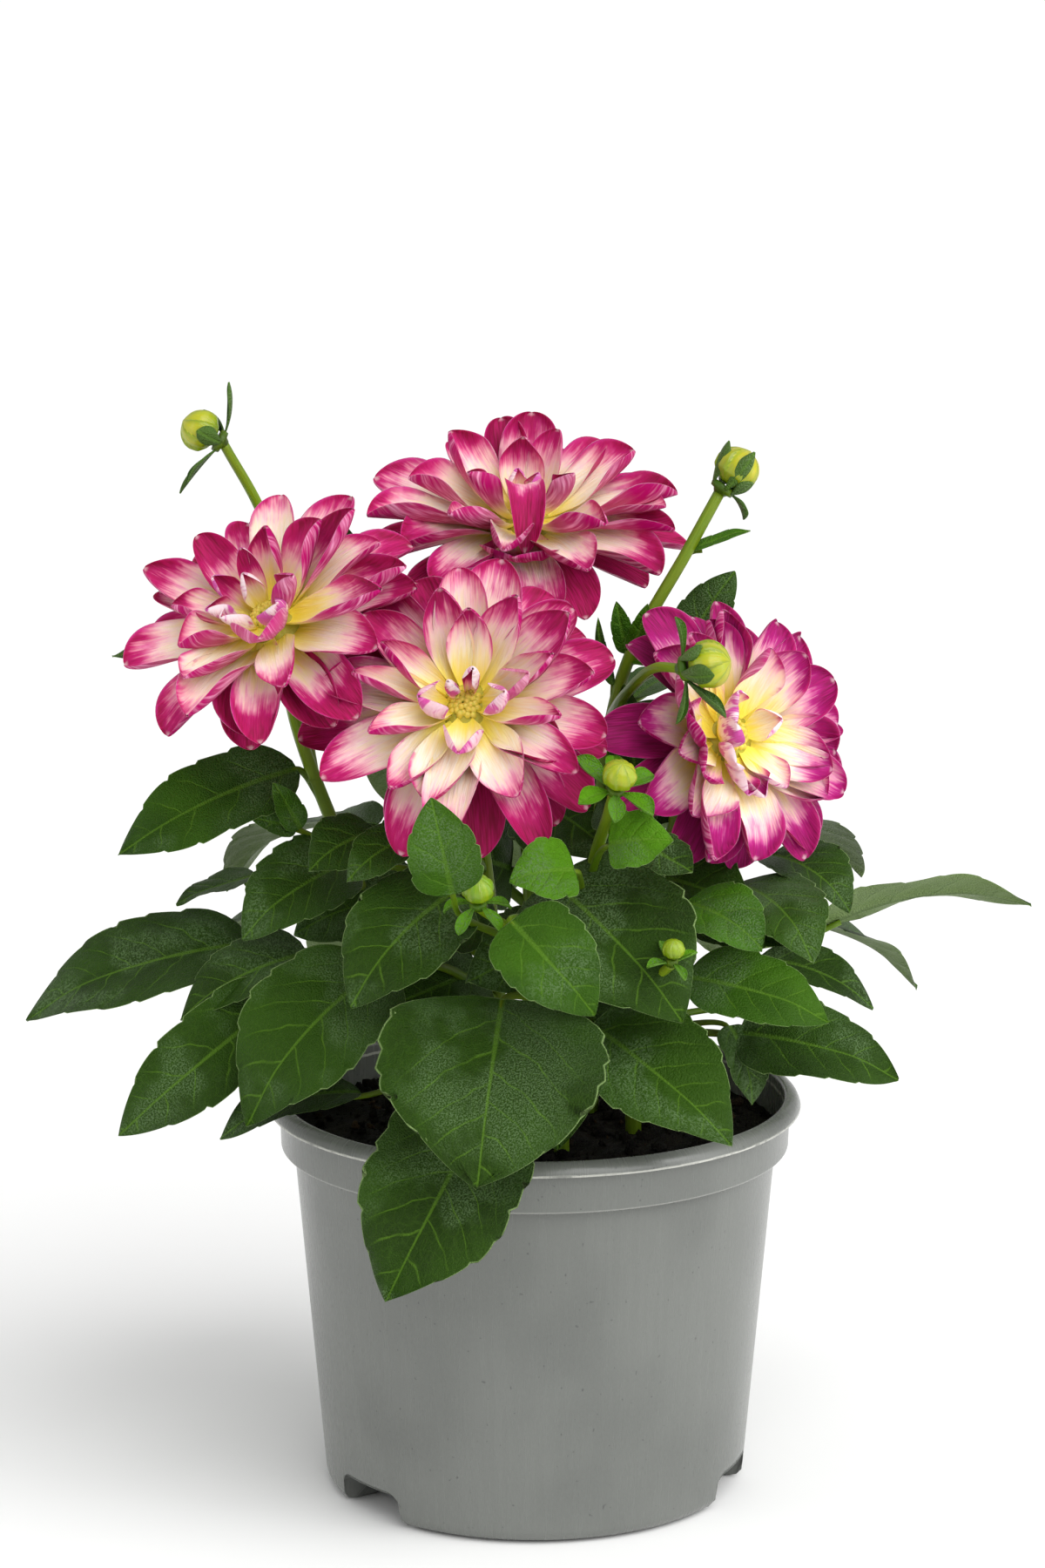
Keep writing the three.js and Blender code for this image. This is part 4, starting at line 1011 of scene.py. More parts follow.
# %% Where the leaves are
# A row is the root, the tip, the width, the way the face looks, and how young the leaf is.
YOUNG = 1.0
FRONT = (0, -0.8, 0.5)
LEAVES = {
    "left": [
        # The first leaf's youth is raised as painted light: it is lightened though the left bloom shades
        # it.
        ((-61, -8, 194), (-107, -20, 174), 23, (-0.1, -0.85, 0.5), YOUNG / 3),
        ((-73, 4, 163), (-94, 0, 157), 15, (0, -0.1, 1)),
        ((-73, -5, 147), (-133, -12, 130), 34, (-0.1, -0.5, 0.85)),
        ((-58, -24, 149), (-91, -32, 134), 24, (-0.1, -0.5, 0.85)),
        ((-63, -30, 140), (-106, -46, 107), 25, (0.3, -0.8, 0.6)),
        ((-68, 6, 226), (-110, 6, 222), 14, (0, -0.5, 0.85)),
        ((-26, 4, 156), (-62, -12, 152), 30, (-0.2, -0.7, 0.6)),
        ((-60, -18, 180), (-66, -24, 193), 8, FRONT, YOUNG / 2),
        ((-61, -17, 180), (-72, -22, 184), 7, FRONT, YOUNG / 2),
    ],
    "front": [
        ((-47, -18, 172), (-75, -32, 156), 28, (-0.2, -0.7, 0.7)),
        ((-40, -34, 183), (-57, -42, 175), 18, (0, -0.6, 0.8)),
        ((-27, -44, 185), (-47, -54, 175), 16, (0, -0.6, 0.8)),
        ((-20, -48, 171), (-46, -66, 146), 31, (-0.1, -0.75, 0.65)),
        ((-38, -40, 150), (-73, -62, 115), 38, (-0.1, -0.7, 0.7)),
        ((-44, -42, 117), (-80, -50, 108), 18, (0, -0.3, 0.95)),
        ((-12, -16, 162), (-38, -36, 156), 30, FRONT),
        ((-14, -14, 142), (-46, -36, 134), 32, FRONT),
    ],
    "bud_front": [
        ((-8, -62, 147), (-14, -98, 110), 60, (0, -0.7, 0.7)),
        ((-13, -68, 119), (-37, -90, 77), 42, (-0.1, -0.85, 0.5)),
        ((-6, -79, 171), (15, -89, 150), 26, (0.1, -0.8, 0.6), YOUNG / 2),
        ((-2, -46, 132), (6, -64, 109), 30, (0, -0.7, 0.7)),
        ((10, -68, 181), (-6, -74, 180), 18, (0, -0.8, 0.6), 1.5 * YOUNG),
        ((-20, -83, 178), (-25, -88, 203), 19, (0, -1, 0.1), YOUNG / 2),
        ((18, -62, 186), (34, -66, 188), 16, (0, -0.85, 0.5), 1.5 * YOUNG),
        ((4, -45, 173), (37, -68, 143), 46, (0.1, -0.7, 0.7)),
        ((8, -32, 154), (-16, -54, 150), 28, FRONT),
        ((10, -34, 138), (26, -60, 128), 28, FRONT),
    ],
    "right": [
        ((14, -50, 137), (49, -76, 114), 37, (0.1, -0.7, 0.7)),
        ((38, -45, 148), (74, -54, 140), 23, (0.1, -0.7, 0.7), YOUNG / 2),
        ((58, -10, 144), (88, -14, 132), 18, (0, -0.4, 0.9)),
        ((52, -28, 129), (93, -38, 121), 28, (0, -0.6, 0.8)),
        ((71, 6, 147), (130, 8, 156), 26, (0, 0.5, 0.87)),
        ((52, -18, 166), (70, -48, 155), 27, (0.1, -0.5, 0.85)),
        ((61, -6, 171), (81, -22, 160), 24, (0.2, -0.4, 0.9)),
        ((38, -39, 166), (57, -54, 158), 22, (0.1, -0.6, 0.8), YOUNG),
        ((40, -30, 158), (67, -42, 157), 14, (0, -0.6, 0.8)),
        ((28, -52, 184), (39, -60, 179), 13, (0, -0.7, 0.7)),
        ((50, -28, 131), (56, -36, 112), 16, (0.6, -0.7, 0.3)),
        ((27, -8, 176), (22, -12, 216), 14, (-0.3, -0.9, 0.2)),
        ((30, -10, 166), (54, -28, 162), 28, FRONT),
    ],
    "bud_right": [
        ((37, 14, 217), (52, 20, 241), 15, (-0.3, -0.9, 0.2)),
        ((24, 2, 222), (21, 0, 236), 6, (0, -1, 0.2), YOUNG),
        ((40, 5, 249), (55, 3, 255), 5, (0, -0.4, 0.9), YOUNG),
        ((20, 46, 186), (36, 88, 160), 40),
        ((46, 32, 172), (90, 58, 152), 38),
        ((28, 46, 138), (60, 84, 118), 32),
        ((54, 25, 147), (104, 38, 126), 30),
        ((50, 28, 122), (86, 42, 112), 24),
        ((26, 30, 205), (46, 54, 206), 18, None, YOUNG),
        ((25, 0, 222), (29, -5, 236), 6, (0.2, -0.9, 0.3), YOUNG),
        ((26, 0, 223), (38, -4, 232), 6, (0, -0.8, 0.6), YOUNG),
        ((25, 0, 221), (40, -7, 223), 6, (0, -0.6, 0.8), YOUNG),
        ((20, 0, 214), (16, -4, 232), 3.5, (-0.2, -0.9, 0.2)),
        ((17, 5, 184), (38, -8, 182), 26, FRONT),
    ],
    "back": [
        ((-36, 14, 226), (-52, 4, 258), 18, (-0.5, -0.7, 0.5)),
        ((-20, 48, 190), (-42, 86, 168), 38),
        ((0, 52, 165), (-6, 98, 140), 40),
        ((-42, 34, 170), (-86, 62, 150), 38),
        ((-30, 44, 140), (-58, 84, 116), 32),
        ((-52, 18, 150), (-104, 34, 128), 30),
        ((0, 50, 132), (10, 90, 108), 30),
        ((-48, 26, 124), (-84, 46, 112), 24),
        ((-14, 40, 215), (-32, 60, 222), 18, None, YOUNG),
        ((-3, 20, 196), (-18, -2, 180), 30, FRONT),
        ((-1, 20, 180), (20, 0, 170), 30, FRONT),
        ((-6, 24, 160), (-34, 6, 172), 30, FRONT),
    ],
}


def leaf_list(rows):
    """The same leaves as arrays: root, tip, face, width, youth and arch. A leaf without a face
    looks up and out from the plant. Blades under 15.5 mm have no arch."""
    full = [(*row, None, 0.0)[:5] if len(row) == 3 else (*row, 0.0)[:5] for row in rows]
    root, tip, width, face, young = zip(*full)
    root, tip, width = (np.array(v, float) for v in (root, tip, width))
    up_and_out = unit(root * (1, 1, 0)) * 0.45 + np.array([0, 0, 0.9])
    face = np.array([way if given is None else given for given, way in zip(face, up_and_out)], float)
    return {"root": root, "tip": tip, "face": face, "width": width, "young": np.array(young),
            "arch": np.where(width < 15.5, 0.0, 0.1)}


def leaf_frame(leaf):
    """Chord, the normal of the upper face, and the direction across."""
    chord = leaf["tip"] - leaf["root"]
    along = unit(chord)
    normal = unit(leaf["face"] - along * np.sum(leaf["face"] * along, -1, keepdims=True))
    return chord, normal, np.cross(normal, along)


print("leaves:", sum(len(rows) for rows in LEAVES.values()))

# %% The leaf surface
LEAF_ROWS, LEAF_COLUMNS, LEAF_SKIN = 66, 19, 0.4
VEIN_LEAN, SIDE_SHIFT, BASE_POWER, TIP_POWER = 0.8, 0.4, 0.56, 0.9
NO_TEETH = 1e-6
# The most by which leaves differ: twist in degrees, the others as shares.
LEAF_VARIETY = {"wave": 0.02, "phase": 1, "twist": 7, "fold": 0.35, "droop": 0.03, "sway": 0.035,
                "base": 0.12}


def leaf_outline(a, teeth, width, power):
    """Half width at the share a of the length: a power of a times a power of 1 - a, as a share of
    its highest value, held below the widest by a soft limit. Each tooth swells slowly and ends in a
    short step back."""
    peak = power / (power + TIP_POWER)
    free = 1.09 * (a / peak) ** power * ((1 - a).clip(0) / (1 - peak)) ** TIP_POWER
    plain = width / 2 * free / (1 + free**10) ** 0.1
    place = teeth * (a - 0.1) / 0.86
    saw = place - np.floor(place)
    bite = step(saw, 0.0, 0.14) * (0.3 + 0.7 * saw**0.7)
    inside = step(a, 0.12, 0.25) * (1 - step(a, 0.9, 0.98))
    return plain * (1 - 0.1 * inside * (1 - bite))


def leaf_surfaces(leaf, seed, rows=LEAF_ROWS, columns=LEAF_COLUMNS, fold=0.16, toothed=True):
    """n leaves at once.

    A point starts at the share t of the midrib and moves out by u times the half width, and
    forward by the lean of the veins, so the share of its length is a = t + lean * 4 t (1 - t).
    Its height over the chord is the arch 4 a (1 - a), plus the fold |offset|, plus bulges between
    the veins, grooves along them and waves at the margin. The mark start is the share of the
    midrib where the vein through a point begins, and phase counts the veins up to it.
    """
    rng = np.random.default_rng(seed)
    chord, normal, across = leaf_frame(leaf)
    n = len(chord)
    draw = {key: most * rng.uniform(-1, 1, (n, 1, 1)) for key, most in LEAF_VARIETY.items()}
    length, width = many(np.linalg.norm(chord, axis=1)), many(leaf["width"])
    veins = np.clip(np.round(width / 9) + 2, 3, 6)
    t = (np.linspace(0.004, 0.996, rows) ** 0.92)[None, :, None]
    u = edge_columns(columns)
    edge = np.abs(u)
    lean = VEIN_LEAN * width / 2 / length
    a = (t + lean * edge**1.25 * 4 * t * (1 - t)).clip(0, 0.998)
    power = BASE_POWER + draw["base"]
    smooth = leaf_outline(a, NO_TEETH, width, power)
    cut = leaf_outline(a, veins, width, power) if toothed else smooth
    offset = u * (smooth + (cut - smooth) * step(edge, 0.6, 1.0))
    start = a - (0.6 * np.abs(offset) + 1.1 * offset**2 / width) / length
    phase = veins * start + 0.16 * np.sin(7 * start + 9 * draw["phase"])
    from_vein = phase + SIDE_SHIFT * (u > 0)
    from_vein = np.abs(from_vein - np.round(from_vein))
    big = np.minimum(1, width / 24)
    margin = np.sin(2 * np.pi * (1.7 * a + draw["phase"]) + 1.2 * np.sign(u))
    bulge = np.sin(np.pi * from_vein) * 4 * edge * (1 - edge) * step(t, 0.02, 0.12)
    twist = np.radians(draw["twist"]) * a
    rise = (fold * (1 + draw["fold"]) * (np.sqrt(offset**2 + 1.0) - 1)
            + 0.017 * np.minimum(width, 34) * bulge
            - 0.55 * big * np.exp(-((offset / 0.8) ** 2)) * (1 - 0.8 * t)
            + (0.03 + draw["wave"]) * width * margin * edge**3 * step(a, 0.05, 0.3)
            - length * (0.05 + draw["droop"]) * step(a, 0.6, 1.0) ** 2
            + offset * np.sin(twist))
    sideways = offset * np.cos(twist) + length * draw["sway"] * np.sin(np.pi * a)
    arch = many(leaf["arch"]) * length * 4 * a * (1 - a)
    c, m, s = (v[:, None, None] for v in (chord, normal, across))
    upper = (leaf["root"][:, None, None] + c * a[..., None] + m * (arch + rise)[..., None]
             + s * sideways[..., None])
    keel = 0.75 * big * np.exp(-(offset**2)) * (1 - 0.85 * t)
    tilt = -np.gradient(arch[:, :, columns // 2], axis=1)[:, :, None] / (length / rows)
    skin_way = unit(m + 0.8 * unit(c) * tilt[..., None])
    return closed_sheet(upper, skin_way, LEAF_SKIN * (1 - edge**8) + keel, grid_of(offset, a * length),
                        phase=phase, spacing=0.7 * length / veins, start=start, edge=edge,
                        reach=t, draw=many(rng.random(n)), young=many(leaf["young"]))


shares = np.array([0.1, 0.4, 0.9])
print("half widths of a 30 mm leaf:", leaf_outline(shares, NO_TEETH, 30, BASE_POWER).round(1))

# %% [markdown]
# ## Stems and stalks
# The stems of a dahlia are ribbed tubes that swell a little where leaves leave them. A curve with a
# bevel would be round, so here a ribbed ring is carried along a smooth line. A leaf's stalk starts
# on the stem below the leaf, bows up, and runs into the leaf's midrib from below. Stems follow the
# same points as the solid ones, so they stand in the same holes of the soil.

# %% Where the stems are
# A bud's ripeness turns it from green to yellow. A stem is its radius, its place in the soil, the
# points it goes through, and the flower at its end.
BUD_RADIUS, BUD_SEAT_SHARE, STEM_DEPTH = 5.2, 0.62, 26.0
BUDS = {
    "left": {"centre": (-82, 8, 277), "axis": (-0.85, -0.1, 0.5), "size": 0.95, "ripe": 0.75},
    "right": {"centre": (49, 9, 265), "axis": (0.6, 0.1, 0.8), "size": 1.05, "ripe": 1.0},
    "middle": {"centre": (38, -54, 229), "axis": (0.93, -0.3, 0.2), "size": 1.05, "ripe": 0.8},
    "front": {"centre": (20, -64, 201), "axis": (0.2, -0.5, 0.85), "size": 0.75, "ripe": 0.55},
    "low": {"centre": (-14, -72, 174), "axis": (0, -0.4, 0.9), "size": 0.7, "ripe": 0.0},
    "hidden": {"centre": (34, -66, 158), "axis": (0.1, -0.3, 0.9), "size": 0.5, "ripe": 0.2},
}
STEMS = {
    "left": (2.2, (-24, 4), [(-35, 2, 135), (-51, -4, 175), (-61, -10, 205)], BLOOMS["left"]),
    "back": (2.3, (2, 20), [(-1, 23, 150), (-4, 27, 205), (-4, 33, 232)], BLOOMS["back"]),
    "front": (2.3, (-8, -8), [(-10, -10, 140), (-14, -16, 180), (-17, -27, 201)], BLOOMS["front"]),
    "right": (2.2, (26, -4), [(29, -6, 140), (35, -8, 175), (40, -12, 194)], BLOOMS["right"]),
    "bud_right": (2.1, (15, 14), [(16, 10, 150), (19, 2, 200), (25, 0, 223), (39, 4, 248)],
                  BUDS["right"]),
    "bud_front": (2.1, (7, -26), [(9, -31, 130), (12, -37, 160), (15, -43, 178), (18, -58, 192)],
                  BUDS["front"]),
}
SHOOTS = {
    "left": [([(-57, -7, 190), (-64, 12, 225), (-70, 12, 255)], BUDS["left"])],
    "bud_right": [([(20, 1, 206), (23, -22, 216), (30, -44, 227)], BUDS["middle"])],
    "bud_front": [([(10, -34, 146), (-4, -58, 162)], BUDS["low"]),
                  ([(10, -32, 138), (28, -60, 150)], BUDS["hidden"])],
}
# One leaf's stalk bows out of the way of the bud under it.
BOW_ASIDE = {(-20, -83, 178): (-12, -2, -4)}
print("stems:", len(STEMS), "buds:", len(BUDS))

# %% Stems, seats and stalks
def seat_radius(flower):
    """The radius of the disc that a flower sits on. Only buds have a ripeness."""
    return BUD_RADIUS * BUD_SEAT_SHARE * flower["size"] if "ripe" in flower else RECEPTACLE_RADIUS


def stem_line(foot, way, flower, count=90):
    """From the bottom of its hole up through its points to just under the flower."""
    start = [] if foot is None else [(*foot, SOIL_HEIGHT + z) for z in (-STEM_DEPTH + 0.6, -4, 9)]
    end = np.array(flower["centre"]) - 2 * unit(flower["axis"])
    return smooth_line([*start, *way, end], count)


def seat_surface(flower):
    """The end of a stem: a cone that opens to the disc under the flower."""
    radius = seat_radius(flower)
    line = [(0.01, -radius), (0.32 * radius, -radius), (0.62 * radius, -0.62 * radius),
            (0.92 * radius, -1.9), (radius, -1.0), (0.97 * radius, -0.1), (0.6 * radius, 0.0), (0.01, 0.0)]
    return moved(turned(line, 24), flower)


def stalk_line(leaf, i, stem):
    """The stalk's points: on the stem, a bow in the middle, the root of the blade, inside its rib."""
    root = leaf["root"][i]
    chord, normal, _ = (v[i] for v in leaf_frame(leaf))
    span = np.hypot(*(root - stem[0])[:2])
    level = max(SOIL_HEIGHT + 5, root[2] - 0.45 * span)
    start = stem[np.argmax(stem[:, 2] >= level)]
    bow = (start + root) / 2 + np.array([0, 0, 0.1]) * np.linalg.norm(root - start)
    bow = bow + np.array(BOW_ASIDE.get(tuple(root), (0, 0, 0)))
    arch = leaf["arch"][i] * np.linalg.norm(chord)
    rib = root + chord * 0.16 + normal * (arch * 0.54 - 2.0)
    return smooth_line([start, bow, root - normal * 1.3, rib], 30)


def stem_surfaces(name):
    """A stem with its shoots, seats and leaf stalks. Each grows thinner and riper along its line."""
    radius, foot, way, flower = STEMS[name]
    main = stem_line(foot, way, flower)
    share = np.linspace(0, 1, len(main))
    parts = [tube(main, radius * (1 - 0.3 * share), 20, 7, 0.035, 0.3 + 0.5 * share),
             seat_surface(flower)]
    for shoot_way, bud in SHOOTS.get(name, []):
        line = stem_line(None, shoot_way, bud, 60)
        share = np.linspace(0, 1, len(line))
        parts.append(tube(line, radius * (0.75 - 0.2 * share), 16, 6, 0.04, 0.5 + 0.5 * share))
        parts.append(seat_surface(bud))
    leaf = leaf_list(LEAVES[name])
    share = np.linspace(0, 1, 30)
    for i, width in enumerate(leaf["width"]):
        size = min(1.0, 0.55 + width / 60)
        line = stalk_line(leaf, i, main)
        parts.append(tube(line, size * (1.5 - 0.75 * share), 12, 3, 0.08, 0.15 + 0.25 * share))
    return parts


front_stem = stem_line(*STEMS["front"][1:])
print("height of the front stem:", np.ptp(front_stem[:, 2]).round(1), "mm")

# %% Bracts under the flowers
# A bract of a bud is a row: azimuth, length, width, first and last slope.
BUD_BRACTS = {
    "left": [(90, 13, 4, 8, 42), (270, 14, 4.4, 14, 4), (0, 8.5, 6.5, 40, 92), (300, 12, 4, 24, 6),
             (200, 8.5, 6, 40, 90), (130, 8.5, 6, 40, 92)],
    "right": [(180, 13, 4.2, 56, 92), (100, 11, 6, 60, 84), (0, 8, 4.6, 40, 14), (262, 7, 5.5, -6, -50),
              (225, 7, 5.5, 40, 84), (310, 7, 5.5, 40, 84)],
    "middle": [(90, 10, 4, 12, -14), (250, 11, 4.4, -8, -30), (195, 11, 6.5, 38, 92), (266, 13, 7, 36, 42),
               (130, 8, 5.5, 40, 88), (330, 8, 5.5, 40, 86)],
    "front": [(15, 10, 5.6, 14, -14), (75, 9.5, 5.2, 18, -6), (128, 11, 5.6, 20, 2),
              (195, 9.5, 5.4, 12, -18), (252, 8.5, 5.2, 6, -30), (310, 9.5, 5.4, 10, -22)],
    "low": [(20, 8, 4, 0, -60), (92, 8, 4, 10, -40), (164, 9, 4, 0, -66), (236, 8, 3.6, -10, -70),
            (308, 7.5, 4, 0, -50)],
    "hidden": [(10, 6, 3, 30, 0), (100, 6, 3, 30, 10), (190, 6.5, 3, 20, -20), (280, 6, 3, 10, -30)],
}
BIG_BUDS = ("left", "right", "middle")


def bud_bracts(name, seed):
    """Thick green bracts round a bud. Those that rise steeply hug the ball; the others spread or
    hang. They are made like petals and coloured as leaves, those of small buds as young ones."""
    bud = BUDS[name]
    azimuth, length, width, rise, bend = np.array(BUD_BRACTS[name], float).T
    rule = {"length": length, "width": width, "rise": rise, "bend": bend, "cup": 42,
            "hook": 0, "roll": 0.1, "fold": 0, "point": 1.7}
    return petals_round(bud, azimuth, seat_radius(bud) - 0.3, -0.9, rule, seed, phase=0.5, spacing=9.0,
                        start=0.7, young=0.5 if name in BIG_BUDS else 2.0, bract=1.0)


def bloom_bracts(flower, count, seed):
    """Green bracts under a bloom, as small toothless leaves. The first four stand where the solid
    ones do; the others fill the gaps and are shorter."""
    k = np.arange(count)
    out = around(flower, np.where(k < 4, 90.0 * k + 40, 360 / (count - 4) * (k - 4) + 75))
    normal = unit(flower["axis"])
    root = np.array(flower["centre"]) + out * (RECEPTACLE_RADIUS - 1.2) - normal * 1.8
    length = np.where(k < 4, 14.0, 11.0)[:, None]
    leaf = {"root": root, "tip": root + out * length - normal * (0.8 * length), "face": normal + out,
            "width": np.full(count, 7.0), "young": np.full(count, 0.35), "arch": np.full(count, 0.04)}
    return leaf_surfaces(leaf, seed, 16, 9, fold=0.2, toothed=False)


print("bracts on buds:", sum(map(len, BUD_BRACTS.values())))

# %% [markdown]
# ## How leaf and stem are coloured
# A dahlia leaf is dark and a little glossy, with fine pale veins and a thin pale margin. A grey
# sheen of light on its hairs is painted into the colour in grainy patches; its underside is pale
# and matt. The veins follow the marks of the grid, so they meet the teeth and the grooves of the
# surface. A noise bends them and makes them fade in places, because ruled veins look stamped.

# %% The veins
def vein_group():
    """How close a point is to the midrib (|U| in mm, wider near the stalk) or to the nearest side
    vein: the distance of the vein phase from a whole number, times the spacing. Side veins start
    at the midrib, alternate on its two sides and thin out before the margin."""
    group, given, out = new_group(
        "Leaf Veins", {"UV": (0.0, 0.0, 0.0), "Phase": 0.0, "Spacing": 8.0, "Start": 0.5, "Edge": 0.0,
                       "Width": 0.3}, ["Midrib", "Side Veins"])
    uv, phase, spacing, start, edge, width = given[:6]
    across = node(group, "SeparateXYZ", {0: uv}).outputs[0]
    rib = over(maths("ABSOLUTE", across), times(width, fade(start, 0.0, 0.8, 3.4, 1.3)))
    put(out, "Midrib", fade(rib, 0.4, 1.3, 1.0, 0.0))
    bend = times(minus(noise(uv, 0.14, 1.0), 0.5), 0.45)
    right = times(maths("GREATER_THAN", across, 0.0), SIDE_SHIFT)
    shifted = plus(phase, plus(bend, plus(right, 0.5)))
    away = maths("ABSOLUTE", minus(maths("FRACT", shifted), 0.5))
    vein = fade(over(times(away, spacing), width), 0.3, 1.3, 1.0, 0.0)
    put(out, "Side Veins", times(vein, fade(edge, 0.55, 0.97, 1.0, 0.1), fade(start, 0.01, 0.05),
                                 fade(noise(uv, 0.2), 0.35, 0.6, 0.45, 1.0)))
    return group


VEINS = vein_group()
print("groups:", [g.name for g in bpy.data.node_groups])

# %% The leaves' finish
def leaf_finish():
    """Dark green with fine lighter veins, a grain of hairs in the bump, a painted grey sheen in patches, a
    pale margin, paler beneath.
    """
    material, tree = new_material("dahlia leaf")
    uv = uv_place(tree)
    edge, side, young, draw, phase, spacing, start, bract = marks(
        tree, "edge", "side", "young", "draw", "phase", "spacing", "start", "bract")
    midrib, side_veins = use_group(
        VEINS, UV=uv, Phase=phase, Spacing=spacing, Start=start, Edge=edge, Width=0.24)
    place = stretched(uv, (MM, MM, MM), draw)
    patches, grain = use_group(MOTTLE, Vector=place, Patch_Scale=48.0, Grain_Scale=2300.0)
    zones, _ = use_group(MOTTLE, Vector=place, Patch_Scale=40.0, Grain_Scale=110.0)
    cells = node(tree, "TexVoronoi", {"Vector": stretched(uv, (0.5, 0.34, 1.0), draw), "Scale": 1.0},
                 feature="DISTANCE_TO_EDGE").outputs["Distance"]
    net = fade(cells, 0.0, 0.1, 1.0, 0.0)
    lines = maths("MAXIMUM", midrib, times(side_veins, 0.9))
    # Painted sheen: grainy patches of grey green lighten the colour where light would gleam on the hairs.
    painted_sheen = times(fade(plus(zones, times(draw, 0.14)), 0.42, 0.78), fade(edge, 0.5, 1.0, 1.0, 0.35))
    painted_sheen_grain = times(fade(grain, 0.25, 0.85), times(painted_sheen, 0.7))
    dark = blend(patches, (0.004, 0.017, 0.0002), (0.012, 0.042, 0.0004))
    fresh = blend(patches, (0.016, 0.07, 0.0002), (0.045, 0.145, 0.0005))
    pale = layered(blend(grain, (0.12, 0.19, 0.06), (0.19, 0.27, 0.1)),
                   (times(lines, 0.5), (0.07, 0.13, 0.03)))
    colour = layered(
        dark, (times(draw, 0.6), (0.02, 0.066, 0.0006)),
        # Young leaves are fresh green; on the first left leaf this lightening is painted light.
        (young, fresh), (fade(young, 1.0, 2.0), (0.085, 0.25, 0.002)),
        # The painted sheen, laid into the colour.
        (painted_sheen_grain, (0.1, 0.17, 0.07)), (times(net, 0.16), (0.04, 0.1, 0.004)),
        (times(lines, 0.5), (0.1, 0.22, 0.015)),
        (times(fade(edge, 0.98, 0.996), 0.7), (0.3, 0.44, 0.16)),
        (times(minus(1.0, side), fade(bract, 0.0, 1.0, 1.0, 0.25)), pale))
    values = {"Roughness": plus(times(grain, 0.2), 0.36), "Specular IOR Level": 0.34,
              "Specular Tint": (0.7, 0.95, 0.4, 1)}
    height = minus(plus(grain, times(net, -0.4)), times(lines, 0.8))
    return finished(material, colour, values, height, 0.0004, 0.7)


leaf_material = leaf_finish()
print("material:", leaf_material.name)

# %% The stems' finish
def stem_finish():
    """Fresh green with fine ribs, more yellow towards the flowers, with faint reddish patches."""
    material, tree = new_material("ribbed stem")
    broad, fine = use_group(STREAKS, Vector=uv_place(tree), Width=0.8, Length=14.0, Shift=0.3)
    patches, _ = use_group(MOTTLE, Vector=object_place(tree), Patch_Scale=60.0, Grain_Scale=1800.0)
    colour = layered(blend(*marks(tree, "ripe"), (0.035, 0.1, 0.002), (0.17, 0.27, 0.003)),
                     (fade(broad, 0.4, 0.7, 0.0, 0.8), (0.1, 0.2, 0.004)),
                     (times(patches, 0.12), (0.2, 0.07, 0.03)))
    values = {"Roughness": 0.4, "Specular IOR Level": 0.25,
              "Subsurface Weight": 0.1, "Subsurface Scale": 0.001}
    return finished(material, colour, values, fine, 0.0004, 0.5)


stem_material = stem_finish()
print("material:", stem_material.name)

# %% Stems and leaves in their places
BUDS_ON = {"left": ["left"], "bud_right": ["right", "middle"], "bud_front": ["front", "low", "hidden"]}
for number, name in enumerate(STEMS):
    make_piece(f"stalks_{name}", stem_surfaces(name), stem_material, "leaf_green", f"stem_{name}")
    blades = [leaf_surfaces(leaf_list(LEAVES[name]), 100 + number)]
    if name in BLOOMS:
        blades.append(bloom_bracts(BLOOMS[name], 8, 200 + number))
    blades += [bud_bracts(bud, 300 + number) for bud in BUDS_ON.get(name, [])]
    make_piece(f"leaves_{name}", blades, leaf_material, "leaf_green", f"stem_{name}")

# %% [markdown]
# ## Buds
# A bud is a ball of young petals that overlap like tiles and meet at the top. Tiles of their own
# would hardly show at this size. The ball is turned from a profile; each petal then swells the
# radius slowly and drops back in a short step where the next one starts, and the steps twist a
# little towards the tip.

# %% The buds
def bud_surface(bud, petals=7, rows=34, sides=98):
    """Radius at height h and angle a: the profile times 1 + 0.15 (swell - 0.4), where the swell
    rises with the power 0.7 of a saw that runs once over each petal, and drops at its end."""
    h = np.linspace(0, 1, rows)
    places = [0, 0.02, 0.25, 0.5, 0.66, 0.8, 0.92, 1.0]
    radii = 1.07 * BUD_RADIUS * np.array([0.02, 0.5, 0.94, 1.0, 0.93, 0.76, 0.5, 0.02])
    profile = np.pad(np.interp(h, places, radii), 2, mode="edge")
    profile = np.convolve(profile, [0.1, 0.2, 0.4, 0.2, 0.1], "valid")
    profile[[0, -1]] = 0.02
    turn = np.arange(sides) / sides
    saw = (petals * turn[None] + 0.55 * h[:, None]) % 1
    swell = saw**0.7 * (1 - step(saw, 0.86, 1.0))
    radius = profile[:, None] * (1 + 0.15 * (swell - 0.4) * step(h, 0.03, 0.3)[:, None]) * bud["size"]
    tall = (GAP + BUD_RADIUS * 1.95 * h * bud["size"])[:, None]
    angle = 2 * np.pi * turn
    points = grid_of(radius * np.cos(angle), radius * np.sin(angle), tall)
    uv = grid_of(np.linspace(0, petals, sides + 1)[None], h[:, None])
    ball = closed_grid(points[None], uv[None], reach=h[None, :, None], seam=saw[None], ripe=bud["ripe"])
    return moved(ball, bud)


